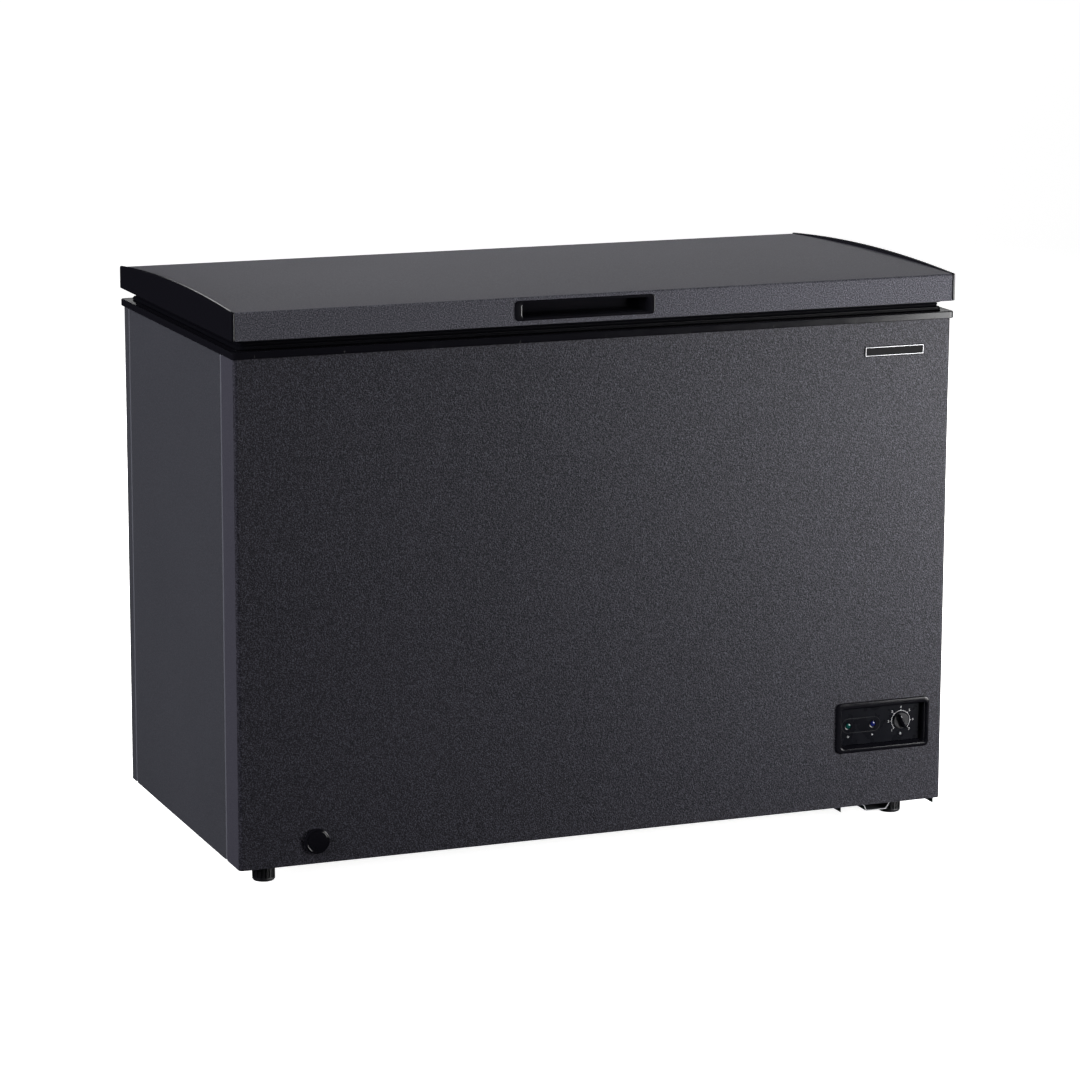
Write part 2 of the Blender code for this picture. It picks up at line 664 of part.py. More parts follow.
def handle_cutter(grow):
    return box((HANDLE_X[0] + 0.006 - grow, HANDLE_X[1] - 0.006 + grow),
               (FRONT - 0.05, FRONT + 0.030 + grow),
               (HANDLE_Z[0] + 0.003 - grow, HANDLE_Z[1] - 0.003 + grow))


def lid_outer_panel():
    path = [(FRONT, LID_LOW), (FRONT, LID_FRONT_TOP - 0.003)]
    path += [(FRONT + 0.0009, LID_FRONT_TOP - 0.0009)]
    path += crown(LID_FRONT_TOP, LID_BACK_TOP, 0.0055, 0.003)
    path += [(BACK - 0.0009, LID_BACK_TOP - 0.0009)]
    path += [(BACK, LID_BACK_TOP - 0.003), (BACK, LID_LOW)]
    half = HALF - CAP_THICK - GAP
    item = sheet(path, -SKIN, "X", -half, half)
    cut(item, handle_cutter(GAP))
    finish(item, "lid_outer_panel", PAINT)


def lid_handle_cup():
    item = plate(rounded(HANDLE_X, HANDLE_Z, 0.006), "Y", FRONT - 0.0015, FRONT - GAP)
    x = (HANDLE_X[0] + 0.006, HANDLE_X[1] - 0.006)
    z = (HANDLE_Z[0] + 0.003, HANDLE_Z[1] - 0.003)
    join(item, box(x, (FRONT - 0.001, FRONT + 0.030), z))
    pocket = plate(rounded((HANDLE_X[0] + 0.0115, HANDLE_X[1] - 0.0115),
                           (HANDLE_Z[0] + 0.0048, HANDLE_Z[1] - 0.0048), 0.004),
                   "Y", FRONT - 0.05, FRONT + 0.0285)
    cut(item, pocket)
    finish(item, "lid_handle_cup", BLACK)


def plug_ring(shrink, low, high):
    """The part of the lid that dips into the tub's mouth."""
    edge = 0.0055 + shrink
    return plate(rounded((-TUB_X + edge, TUB_X - edge), (TUB_FRONT + edge, TUB_BACK - edge),
                         TUB_RADIUS), "Z", low, high)


def lid_foam():
    inset = SKIN + GAP
    outline = [(FRONT + inset, LID_LOW + 0.0019)]
    drop = 0.0014
    outline += [(FRONT + inset, LID_FRONT_TOP - 0.0045)]
    outline += crown(LID_FRONT_TOP - drop, LID_BACK_TOP - drop, 0.0055, 0.004)
    outline += [(BACK - inset, LID_BACK_TOP - 0.0045), (BACK - inset, LID_LOW + 0.0019)]
    half = HALF - CAP_THICK - GAP
    item = plate(outline, "X", -half, half)
    join(item, plug_ring(SKIN + GAP, 0.768 + SKIN + GAP, LID_LOW + 0.005))
    cut(item, handle_cutter(2 * GAP))
    finish(item, "lid_foam", FOAM)


def lid_inner_liner():
    half = HALF - CAP_THICK - GAP
    inset = SKIN + GAP
    low, high = LID_LOW + GAP, LID_LOW + 0.0016
    item = box((-half, half), (FRONT + inset, BACK - inset), (low, high))
    join(item, plug_ring(0.0, 0.768, high - 0.0003))
    cut(item, plug_ring(SKIN, 0.768 + SKIN, high + 0.01))
    finish(item, "lid_inner_liner", WHITE)


def gasket_ring(inset, low, high):
    return plate(rounded((-HALF + inset, HALF - inset), (FRONT + inset, BACK - inset), 0.010),
                 "Z", low, high)


def lid_gasket():
    low, high = COLLAR_TOP + GAP, LID_LOW
    item = gasket_ring(0.0135, low, high)
    waist = gasket_ring(0.010, low + 0.0055, high - 0.004)
    cut(waist, gasket_ring(0.0175, low, high))
    cut(item, waist)
    cut(item, gasket_ring(0.0395, low - 0.01, high + 0.01))
    finish(item, "lid_gasket", RUBBER)


# --- hinges ----------------------------------------------------------------------------------

def hinge_bracket(x):
    """Channel fixed to the cabinet's back; its ears carry the pin, and a web holds the spring."""
    face = SHELL_BACK + GAP
    rear = BACK + HINGE_PROUD
    item = box((x - 0.0217, x + 0.0217), (face, face + 0.0015), (0.650, 0.762))
    ear = [(face + 0.0005, 0.6505), (0.285, 0.6505), (rear, 0.665), (rear, 0.770)]
    ear += arc((AXIS_Y, AXIS_Z), 0.0105, 0, 180, 8)
    ear += [(BACK + GAP, 0.788), (BACK + GAP, 0.764), (face + 0.0005, 0.7615)]
    for x0 in (x - 0.022, x + 0.0205):
        join(item, plate(ear, "X", x0, x0 + 0.0015))
    join(item, box((x - 0.021, x + 0.021), (face + 0.001, 0.289), (0.668, 0.6695)))
    cut(item, rod(0.0022, x - 0.03, x + 0.03, (AXIS_Y, AXIS_Z), "X"))
    return item


def hinge_lever(x):
    """Bracket on the lid's back that turns on the pin."""
    item = box((x - 0.0177, x + 0.0177), (BACK + GAP, BACK + 0.0018), (0.7920, 0.8195))
    ear = [(BACK + 0.001, 0.7925)] + arc((AXIS_Y, AXIS_Z), 0.0095, 270, 450, 8)
    ear += [(BACK + 0.001, 0.8180)]
    for x0 in (x - 0.018, x + 0.0165):
        join(item, plate(ear, "X", x0, x0 + 0.0015))
    cut(item, rod(0.0022, x - 0.03, x + 0.03, (AXIS_Y, AXIS_Z), "X"))
    return item


def hinge_spring(x):
    turns, per_turn, radius = 6, 8, 0.0068
    points = []
    for i in range(turns * per_turn + 1):
        angle = 2 * math.pi * i / per_turn
        points.append((x + radius * math.cos(angle), 0.2795 + radius * math.sin(angle),
                       0.6715 + 0.086 * i / (turns * per_turn)))
    return tube(points, 0.0011)


def hinges():
    for side, x in (("left", -HINGE_X), ("right", HINGE_X)):
        finish(hinge_bracket(x), f"hinge_bracket_{side}", ZINC)
        pin = rod(0.0020, x - 0.0235, x + 0.0235, (AXIS_Y, AXIS_Z), "X")
        finish(pin, f"hinge_pin_{side}", STEEL)
        finish(hinge_spring(x), f"hinge_spring_{side}", STEEL)
        lever = finish(hinge_lever(x), f"hinge_lever_{side}", ZINC)
        move_origin(lever, (x, AXIS_Y, AXIS_Z))


# --- storage basket --------------------------------------------------------------------------

def storage_basket():
    """Wire tub that hangs by its rim on the liner's ledge, drawn as a coarse lattice of wires."""
    middle_y = (TUB_FRONT + TUB_BACK) / 2
    middle_x = (BASKET_X[0] + BASKET_X[1]) / 2
    half_x = (BASKET_X[1] - BASKET_X[0]) / 2
    half_y = (TUB_BACK - TUB_FRONT) / 2
    top = LEDGE_Z + 0.0048
    rings = [(0.018, 0.020, BASKET_LOW), (0.006, 0.006, top - 0.006), (0.0, -0.0045, top)]
    work = bmesh.new()
    bmesh.ops.create_grid(work, x_segments=3, y_segments=5, size=1.0)
    x_inset, y_inset, z = rings[0]
    bmesh.ops.scale(work, verts=work.verts, vec=(half_x - x_inset, half_y - y_inset, 1.0))
    bmesh.ops.translate(work, verts=work.verts, vec=(middle_x, middle_y, z))
    for x_next, y_next, z_next in rings[1:]:
        rim = [e for e in work.edges if e.is_boundary]
        grown = bmesh.ops.extrude_edge_only(work, edges=rim)["geom"]
        for vert in (g for g in grown if isinstance(g, bmesh.types.BMVert)):
            x = (vert.co.x - middle_x) * (half_x - x_next) / (half_x - x_inset)
            y = (vert.co.y - middle_y) * (half_y - y_next) / (half_y - y_inset)
            vert.co = (middle_x + x, middle_y + y, z_next)
        x_inset, y_inset = x_next, y_next
    mesh = bpy.data.meshes.new("storage_basket")
    work.to_mesh(mesh)
    work.free()
    item = bpy.data.objects.new("storage_basket", mesh)
    bpy.context.scene.collection.objects.link(item)
    wires = item.modifiers.new("wires", "WIREFRAME")
    wires.thickness = 0.0035
    wires.use_even_offset = False
    wires.use_boundary = True
    finish(item, "storage_basket", WHITE)


clear_scene()
PARTS = collection("chest_freezer")
CUTTERS = collection("cutters")
front_panel()
rear_panel()
side_panels()
bottom_panel()
top_collar()
badge_plate()
cabinet_foam()
inner_liner()
evaporator_coil()
condenser_coil()
drain_tube()
machine_room_partition()
base_plate()
compressor()
compressor_grommets()
relay_cover()
filter_drier()
pipes()
side_vent_grille()
rear_cover()
cord_gland()
control_bezel()
control_fascia()
thermostat()
indicator_board()
feet()
drain_caps()
lid_end_caps()
lid_outer_panel()
lid_handle_cup()
lid_foam()
lid_inner_liner()
lid_gasket()
hinges()
storage_basket()
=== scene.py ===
"""Looks of a chest freezer: a foamed steel cabinet on four feet with a sprung, foamed lid."""
import math

import bmesh
import bpy
from mathutils import Matrix, Vector


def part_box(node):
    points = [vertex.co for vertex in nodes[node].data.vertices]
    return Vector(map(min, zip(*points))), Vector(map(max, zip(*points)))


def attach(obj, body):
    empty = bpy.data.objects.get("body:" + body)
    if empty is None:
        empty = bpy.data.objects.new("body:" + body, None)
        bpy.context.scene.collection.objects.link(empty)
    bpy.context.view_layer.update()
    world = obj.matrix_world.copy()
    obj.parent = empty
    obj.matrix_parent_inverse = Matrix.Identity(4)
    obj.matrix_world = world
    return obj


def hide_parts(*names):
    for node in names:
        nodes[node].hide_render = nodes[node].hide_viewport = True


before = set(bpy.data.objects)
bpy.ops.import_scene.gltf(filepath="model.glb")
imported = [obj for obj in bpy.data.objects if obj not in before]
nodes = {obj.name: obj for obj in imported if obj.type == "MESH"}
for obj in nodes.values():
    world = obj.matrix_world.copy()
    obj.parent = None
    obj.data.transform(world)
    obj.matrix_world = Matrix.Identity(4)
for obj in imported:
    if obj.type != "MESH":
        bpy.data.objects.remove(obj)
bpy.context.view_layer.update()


# --- Camera, floor and studio lights ---------------------------------------------------------
# A long lens stands to the left of the freezer and a little above it. The floor runs back into
# a wall in one white sweep, and large soft lights stand round the object.

EYE = Vector((-2.2283, -5.6210, 1.6698))
YAW = math.radians(21.76)
PITCH = math.radians(11.75)
ROLL = math.radians(0.19)
LENS = 135.35

eye = bpy.data.objects.new("camera", bpy.data.cameras.new("camera"))
eye.data.lens = LENS
eye.data.sensor_width = 36.0
turn = Matrix.Rotation(-YAW, 4, "Z") @ Matrix.Rotation(math.pi / 2 - PITCH, 4, "X")
eye.matrix_world = Matrix.Translation(EYE) @ turn @ Matrix.Rotation(ROLL, 4, "Z")
bpy.context.scene.collection.objects.link(eye)
bpy.context.scene.camera = eye


class Value:
    """A node's output that takes part in Python sums; each sum adds its Math node."""

    def __init__(self, graph, socket):
        self.graph = graph
        self.socket = socket

    def maths(self, operation, other, swapped=False):
        first, second = (other, self) if swapped else (self, other)
        return self.graph.node("ShaderNodeMath", {"operation": operation}, {0: first, 1: second})

    def __add__(self, other):
        return self.maths("ADD", other)

    def __sub__(self, other):
        return self.maths("SUBTRACT", other)

    def __rsub__(self, other):
        return self.maths("SUBTRACT", other, swapped=True)

    def __mul__(self, other):
        return self.maths("MULTIPLY", other)

    def __gt__(self, other):
        return self.maths("GREATER_THAN", other)

    def __lt__(self, other):
        return self.maths("LESS_THAN", other)

    __radd__ = __add__


class Graph:
    """A node tree that is filled one node at a time."""

    def __init__(self, tree):
        self.tree = tree

    def node(self, kind, settings=None, inputs=None, out=0):
        made = self.tree.nodes.new(kind)
        for key, setting in (settings or {}).items():
            if key == "stops":
                self.set_ramp(made.color_ramp, setting)
            else:
                setattr(made, key, setting)
        for key, value in (inputs or {}).items():
            if isinstance(value, Value):
                self.tree.links.new(value.socket, made.inputs[key])
            else:
                made.inputs[key].default_value = value
        return Value(self, made.outputs[out]) if made.outputs else None

    @staticmethod
    def set_ramp(ramp, stops):
        for element, (at, level) in zip(ramp.elements, (stops[0], stops[-1])):
            element.position = at
            element.color = (level, level, level, 1)
        for at, level in stops[1:-1]:
            ramp.elements.new(at).color = (level, level, level, 1)

    def place(self):
        """Object coordinates, in metres."""
        return self.node("ShaderNodeTexCoord", out="Object")

    def noise(self, scale, detail=2.0, rough=0.5, where=None):
        inputs = {"Vector": where or self.place(), "Scale": scale, "Detail": detail,
                  "Roughness": rough}
        return self.node("ShaderNodeTexNoise", {}, inputs, out="Fac")

    def ramp(self, value, *stops):
        return self.node("ShaderNodeValToRGB", {"stops": stops}, {"Fac": value})

    def mix(self, mask, first, second):
        """One colour over another by a mask."""
        first = first if isinstance(first, Value) else (*first, 1)
        second = second if isinstance(second, Value) else (*second, 1)
        return self.node("ShaderNodeMix", {"data_type": "RGBA"}, {0: mask, 6: first, 7: second},
                         out=2)

    def axis(self, name):
        """One of the object coordinates as a number."""
        return self.node("ShaderNodeSeparateXYZ", {}, {0: self.place()}, out=name)

    def bump(self, height, depth, strength=1.0):
        inputs = {"Height": height, "Distance": depth, "Strength": strength}
        return self.node("ShaderNodeBump", {}, inputs)

    def surface(self, **inputs):
        """The finished Principled surface; keys are its sockets, with _ for a space."""
        named = {key.replace("_", " "): value for key, value in inputs.items()}
        shader = self.node("ShaderNodeBsdfPrincipled", {}, named)
        self.node("ShaderNodeOutputMaterial", {}, {"Surface": shader})


def material(name, build):
    """A procedural material; build fills its graph."""
    made = bpy.data.materials.new(name)
    made.use_nodes = True
    made.node_tree.nodes.clear()
    build(Graph(made.node_tree))
    return made


def sweep_paper(g):
    tone = g.noise(0.6, 2.0)
    g.surface(Base_Color=g.mix(tone, (0.86, 0.86, 0.86), (0.90, 0.90, 0.90)), Roughness=0.9,
              Emission_Strength=0.90)


def link(name, mesh):
    item = bpy.data.objects.new(name, mesh)
    bpy.context.scene.collection.objects.link(item)
    return item


def sweep_floor():
    """Floor, a wide round cove and the wall behind it."""
    front, back, half, cove, height = -9.0, 5.0, 9.0, 2.5, 7.0
    outline = [(front, 0.0)]
    for step in range(13):
        angle = math.radians(90 * step / 12)
        outline.append((back + cove * math.sin(angle), cove - cove * math.cos(angle)))
    outline.append((back + cove, height))
    verts = [(x, y, z) for y, z in outline for x in (-half, half)]
    faces = [(2 * i, 2 * i + 1, 2 * i + 3, 2 * i + 2) for i in range(len(outline) - 1)]
    mesh = bpy.data.meshes.new("studio_sweep")
    mesh.from_pydata(verts, [], faces)
    mesh.shade_smooth()
    mesh.materials.append(material("sweep_paper", sweep_paper))
    return link("studio_sweep", mesh)


studio_sweep = sweep_floor()
studio_sweep.visible_glossy = False
studio_sweep.visible_diffuse = False

LIGHTS = {  # place, aimed at, width, height, watts
    "overhead": ((0.2, 0.3, 3.6), (0.0, 0.0, 0.6), 4.0, 2.6, 62),
    "right_box": ((1.95, -1.8, 0.46), (0.45, -0.29, 0.36), 1.2, 1.2, 72),
    "left_box": ((-4.2, -0.8, 1.6), (-0.3, 0.0, 0.4), 2.4, 2.0, 228),
    "back_strip": ((2.6, 5.2, 2.3), (0.2, 0.0, 0.8), 3.6, 1.0, 16),
    "rear_left": ((-1.3, 3.6, 1.5), (0.0, 0.27, 0.4), 2.0, 1.6, 170),
    "rear_right": ((3.2, 2.2, 1.5), (0.5, 0.1, 0.4), 1.8, 1.6, 150),
    "front_fill": ((-0.6, -5.6, 2.6), (0.0, 0.0, 0.4), 3.0, 1.6, 20),
}
MIRRORED = ("right_box", "back_strip")
for label, (spot, target, width, height, watts) in LIGHTS.items():
    lamp = bpy.data.lights.new(label, "AREA")
    lamp.shape = "RECTANGLE"
    lamp.size, lamp.size_y = width, height
    lamp.energy = watts
    holder = bpy.data.objects.new(label, lamp)
    aim = Vector(target) - Vector(spot)
    holder.matrix_world = Matrix.Translation(spot) @ aim.to_track_quat("-Z", "Y").to_matrix().to_4x4()
    holder.visible_camera = False
    holder.visible_glossy = label in MIRRORED
    bpy.context.scene.collection.objects.link(holder)

world = bpy.data.worlds.new("studio")
world.use_nodes = True
world.node_tree.nodes["Background"].inputs["Color"].default_value = (1.0, 1.0, 1.0, 1.0)
world.node_tree.nodes["Background"].inputs["Strength"].default_value = 1.0
bpy.context.scene.world = world
world.cycles_visibility.diffuse = False
world.cycles_visibility.glossy = False
bpy.context.scene.view_settings.view_transform = "Standard"


# --- Outer shell -----------------------------------------------------------------------------
# Four sheets of pre-painted steel with a pebble-embossed, dark metallic grey finish. The front
# and rear sheets wrap round the corners and hook into the side sheets in V-shaped seams.

SHEET = 0.0009
SHELL_LOW, SHELL_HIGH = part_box("front_panel")[0][2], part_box("front_panel")[1][2]
SHELL_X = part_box("front_panel")[1][0]
SHELL_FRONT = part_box("front_panel")[0][1]
SHELL_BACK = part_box("rear_panel")[1][1]
SEAM_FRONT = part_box("front_panel")[1][1]
SEAM_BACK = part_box("rear_panel")[0][1]
SEAM_DEPTH = 0.002
SEAM_HALF = 0.0045
CORNER = 0.0055
DARK_GREY = (0.0075, 0.0072, 0.0100)
PALE_FLECK = (0.069, 0.067, 0.087)
SIDE_DARK = (0.014, 0.0140, 0.0172)
SIDE_FLECK = (0.092, 0.094, 0.112)
# Painted highlight: the side paint is painted pale in a narrow band beside each seam.
SEAM_HIGHLIGHT_WIDTH = 0.0030
SEAM_HIGHLIGHT_STRENGTH = 5.0


def pebble(g, strength, dark=DARK_GREY, fleck=PALE_FLECK, painted_light=0.0, shine=0.26):
    """Pebble-embossed paint; strength fades the emboss out, and the added lightening paints highlights
    and lit faces into the colour.
    """
    cells = g.node("ShaderNodeTexVoronoi", {"feature": "F1"},
                   {"Vector": g.place(), "Scale": 480.0}, out="Distance")
    grain = g.noise(560.0, 1.5, 0.55)
    flecks = g.ramp(grain, (0.36, 0.0), (0.53, 0.30), (0.72, 1.0))
    cloud = g.noise(5.0, 3.0) * 0.08
    mask = flecks * strength + (1 - strength) * 0.36 + cloud - 0.04 + painted_light
    g.surface(
        Base_Color=g.mix(mask, dark, fleck),
        Metallic=0.15,
        Roughness=0.52 - grain * 0.14,
        Specular_IOR_Level=shine,
        Normal=g.bump((grain - cells * 0.5) * strength, 0.0006, 0.6),
    )


def front_look(g):
    """Full pebble on the face, finer where the sheet wraps round a corner, and painted paler there as
    painted light on the side-facing return.
    """
    wrapped = g.axis("Y") > SHELL_FRONT + CORNER
    pebble(g, 1.0 - wrapped * 0.7, painted_light=wrapped * 0.25)


front_paint = material("pebble_paint_front", front_look)


def side_look(g):
    """Finer pebble on the side sheets, with a painted highlight: a pale band beside each seam."""
    y = g.axis("Y")
    edge = (y < SEAM_FRONT + SEAM_HIGHLIGHT_WIDTH) + (y > SEAM_BACK) * (y < SEAM_BACK + SEAM_HIGHLIGHT_WIDTH)
    pebble(g, 0.30, SIDE_DARK, SIDE_FLECK, edge * SEAM_HIGHLIGHT_STRENGTH)


side_paint = material("pebble_paint_side", side_look)


def arc(centre, radius, start, end, steps):
    """Points on an arc, with its angles in degrees."""
    turns = [math.radians(start + (end - start) * i / steps) for i in range(steps + 1)]
    return [(centre[0] + radius * math.cos(a), centre[1] + radius * math.sin(a)) for a in turns]


def offset_path(path, distance):
    """The path moved to its left."""
    moved = []
    for i, (px, py) in enumerate(path):
        around = (path[max(i - 1, 0)], (px, py), path[min(i + 1, len(path) - 1)])
        normals = []
        for (ax, ay), (bx, by) in zip(around, around[1:]):
            length = math.hypot(bx - ax, by - ay)
            if length:
                normals.append(((ay - by) / length, (bx - ax) / length))
        nx = sum(n[0] for n in normals) / len(normals)
        ny = sum(n[1] for n in normals) / len(normals)
        reach = distance / (nx * nx + ny * ny)
        moved.append((px + nx * reach, py + ny * reach))
    return moved


ORDERS = {"X": (2, 0, 1), "Y": (0, 2, 1), "Z": (0, 1, 2)}


def at(axis, across, along, depth):
    """A point from an outline across an axis and a depth along it."""
    values = (across, along, depth)
    return tuple(values[i] for i in ORDERS[axis])


def skin(loops, closed=False):
    """A mesh through loops of equal length: capped at its ends, or closed into a ring."""
    work = bmesh.new()
    rows = [[work.verts.new(p) for p in loop] for loop in loops]
    pairs = list(zip(rows, rows[1:]))
    if closed:
        pairs.append((rows[-1], rows[0]))
    for first, second in pairs:
        for i in range(len(first)):
            j = (i + 1) % len(first)
            work.faces.new((first[i], first[j], second[j], second[i]))
    if not closed:
        work.faces.new(rows[0])
        work.faces.new(rows[-1])
    bmesh.ops.recalc_face_normals(work, faces=work.faces)
    mesh = bpy.data.meshes.new("skin")
    work.to_mesh(mesh)
    work.free()
    return mesh


def apply_modifiers(item):
    """Bake an object's modifiers into its mesh."""
    graph = bpy.context.evaluated_depsgraph_get()
    mesh = bpy.data.meshes.new_from_object(item.evaluated_get(graph))
    item.modifiers.clear()
    item.data = mesh
    return item


def round_edges(item, width, segments=2, angle=40):
    """Small rounded edges wherever two faces meet at more than an angle."""
    modifier = item.modifiers.new("edges", "BEVEL")
    modifier.width = width
    modifier.segments = segments
    modifier.limit_method = "ANGLE"
    modifier.angle_limit = math.radians(angle)
    return apply_modifiers(item)


def carve(item, *tools):
    """Take each tool's shape out of a piece."""
    for tool in tools:
        modifier = item.modifiers.new("carve", "BOOLEAN")
        modifier.operation = "DIFFERENCE"
        modifier.solver = "EXACT"
        modifier.object = tool
    apply_modifiers(item)
    for tool in tools:
        bpy.data.objects.remove(tool, do_unlink=True)
    return item


def prism(name, outline, axis, low, high):
    """A solid with a flat outline, drawn out along an axis."""
    return link(name, skin([[at(axis, a, b, depth) for a, b in outline] for depth in (low, high)]))


def block(x, y, z, name="block"):
    corners = [(x[0], y[0]), (x[1], y[0]), (x[1], y[1]), (x[0], y[1])]
    return prism(name, corners, "Z", *z)


def done(item, body, look, replaced=(), sharp=38):
    """Shade a piece, give it its material and hang it on its body."""
    for polygon in item.data.polygons:
        polygon.use_smooth = True
    item.data.set_sharp_from_angle(angle=math.radians(sharp))
    modifier = item.modifiers.new("flat faces", "WEIGHTED_NORMAL")
    modifier.keep_sharp = True
    apply_modifiers(item)
    item.data.materials.clear()
    item.data.materials.append(look)
    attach(item, body)
    if replaced:
        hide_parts(*replaced)
    return item


def sheet(name, path, axis, low, high, thickness=SHEET):
    """A folded sheet from a path, thickened to the path's left."""
    outline = path + offset_path(path, thickness)[::-1]
    return prism(name, outline, axis, low, high)


def wrap(sign, face, seam):
    """A front (-1) or rear (+1) sheet in plan, from seam to seam."""
    right = [(SHELL_X - SEAM_DEPTH, seam)]
    right += [(SHELL_X - 0.0004, seam + sign * (SEAM_HALF - 0.0007))]
    right += [(SHELL_X, seam + sign * (SEAM_HALF + 0.0005))]
    right += arc((SHELL_X - CORNER, face - sign * CORNER), CORNER, 0, sign * 90, 10)
    return right + [(-x, y) for x, y in reversed(right)]


def centre_of(corners, first, second):
    """The middle of a box across two of its axes, where 0 is X, 1 is Y and 2 is Z."""
    low, high = corners
    return ((low[first] + high[first]) / 2, (low[second] + high[second]) / 2)


THROUGH = 0.01  # how far a cutter reaches past the sheet it cuts
BAY_REAR = ((0.400, 0.545), (0.050, 0.250))
BAY_SIDE = ((0.010, 0.200), (0.070, 0.230))
bezel_low, bezel_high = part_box("control_bezel")
drain_low, drain_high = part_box("drain_cap")
DRAIN = centre_of((drain_low, drain_high), 0, 2)

front = sheet("front_sheet", wrap(-1, SHELL_FRONT, SEAM_FRONT)[::-1], "Z", SHELL_LOW, SHELL_HIGH)
carve(
    front,
    block((bezel_low[0] + 0.007, bezel_high[0] - 0.006),
          (SHELL_FRONT - THROUGH, SHELL_FRONT + THROUGH),
          (bezel_low[2] + 0.006, bezel_high[2] - 0.006)),
    prism("drain_hole", arc(DRAIN, 0.0104, 0, 350, 35), "Y", SHELL_FRONT - THROUGH,
          SHELL_FRONT + THROUGH),
)
done(front, "cabinet", front_paint, ["front_panel"])
rear = sheet("rear_sheet", wrap(1, SHELL_BACK, SEAM_BACK), "Z", SHELL_LOW, SHELL_HIGH)
carve(rear, block(BAY_REAR[0], (SHELL_BACK - THROUGH, SHELL_BACK + THROUGH), BAY_REAR[1]))
done(rear, "cabinet", side_paint, ["rear_panel"])

side_path = [(SHELL_X - SEAM_DEPTH, SEAM_FRONT + 0.0004)]
side_path += [(SHELL_X - 0.0004, SEAM_FRONT + SEAM_HALF - 0.0007)]
side_path += [(SHELL_X, SEAM_FRONT + SEAM_HALF + 0.0005), (SHELL_X, SEAM_BACK - SEAM_HALF - 0.0005)]
side_path += [(SHELL_X - 0.0004, SEAM_BACK - SEAM_HALF + 0.0007)]
side_path += [(SHELL_X - SEAM_DEPTH, SEAM_BACK - 0.0004)]
left_path = [(-x, y) for x, y in reversed(side_path)]
done(sheet("left_side_sheet", left_path, "Z", SHELL_LOW, SHELL_HIGH), "cabinet", side_paint,
     ["left_side_panel"])
grille_low, grille_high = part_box("side_vent_grille")
right_side = sheet("right_side_sheet", side_path, "Z", SHELL_LOW, SHELL_HIGH)
carve(right_side, block((SHELL_X - THROUGH, SHELL_X + THROUGH), *BAY_SIDE))
done(right_side, "cabinet", side_paint, ["right_side_panel"])


# --- Top collar ------------------------------------------------------------------------------
# One black gloss moulding that covers the raw top edges of the sheets and stands a few
# millimetres outside them. Thin clip ribs show along its lower front edge.

def gloss_black(g):
    """Glossy black ABS with a faint moulding ripple."""
    ripple = g.noise(26.0, 1.0)
    dust = g.noise(900.0, 2.0)
    g.surface(
        Base_Color=g.mix(dust, (0.0034, 0.0033, 0.0048), (0.0064, 0.0062, 0.0088)),
        Roughness=0.13 + ripple * 0.08,
        Specular_IOR_Level=0.34,
        Normal=g.bump(ripple, 0.0006, 0.05),
    )


gloss_plastic = material("gloss_black_plastic", gloss_black)


def rounded(x, y, radius, steps=8):
    """A rectangle between limits with round corners."""
    left, right = x[0] + radius, x[1] - radius
    low, high = y[0] + radius, y[1] - radius
    corners = ((right, high, 0), (left, high, 90), (left, low, 180), (right, low, 270))
    return [p for cx, cy, a in corners for p in arc((cx, cy), radius, a, a + 90, steps)]


def stack(axis, x, y, profile, closed=False, steps=8):
    """Rounded rectangles one after another; each profile row is (inset, inset, radius, depth)."""
    loops = []
    for inset_x, inset_y, radius, depth in profile:
        outline = rounded((x[0] + inset_x, x[1] - inset_x), (y[0] + inset_y, y[1] - inset_y),
                          radius, steps)
        loops.append([at(axis, a, b, depth) for a, b in outline])
    return skin(loops, closed)


collar_low, collar_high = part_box("top_collar")
HALF, FRONT, BACK = collar_high[0], collar_low[1], collar_high[1]
tub_low, tub_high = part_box("inner_liner")
MOUTH_X, MOUTH_INSET, MOUTH_RADIUS = 0.5055, 0.057, 0.020
EASE = 0.0009
collar_wall = HALF - SHELL_X - 0.0004
mouth = HALF - MOUTH_X
collar_rows = [
    (EASE, EASE, 0.0061, collar_low[2]), (0.0, 0.0, 0.007, collar_low[2] + EASE),
    (0.0, 0.0, 0.007, collar_high[2] - 0.0016), (0.0005, 0.0005, 0.0065, collar_high[2] - 0.0005),
    (0.0016, 0.0016, 0.0055, collar_high[2]),
    (mouth - EASE, MOUTH_INSET - EASE, MOUTH_RADIUS, collar_high[2]),
    (mouth, MOUTH_INSET, MOUTH_RADIUS, collar_high[2] - EASE),
    (mouth, MOUTH_INSET, MOUTH_RADIUS, collar_high[2] - 0.0038),
    (collar_wall, collar_wall, 0.006, collar_high[2] - 0.0038),
    (collar_wall, collar_wall, 0.006, collar_low[2]),
]
collar = link("collar", stack("Z", (-HALF, HALF), (FRONT, BACK), collar_rows, closed=True))
done(collar, "cabinet", gloss_plastic, ["top_collar"])


def interface(tree, sizes):
    """The sockets of a Geometry Nodes tree, with an input for each named size."""
    kinds = {int: "NodeSocketInt", float: "NodeSocketFloat", tuple: "NodeSocketVector"}
    tree.interface.new_socket("Geometry", in_out="INPUT", socket_type="NodeSocketGeometry")
    tree.interface.new_socket("Geometry", in_out="OUTPUT", socket_type="NodeSocketGeometry")
    for label, value in sizes.items():
        tree.interface.new_socket(label, in_out="INPUT", socket_type=kinds[type(value)])


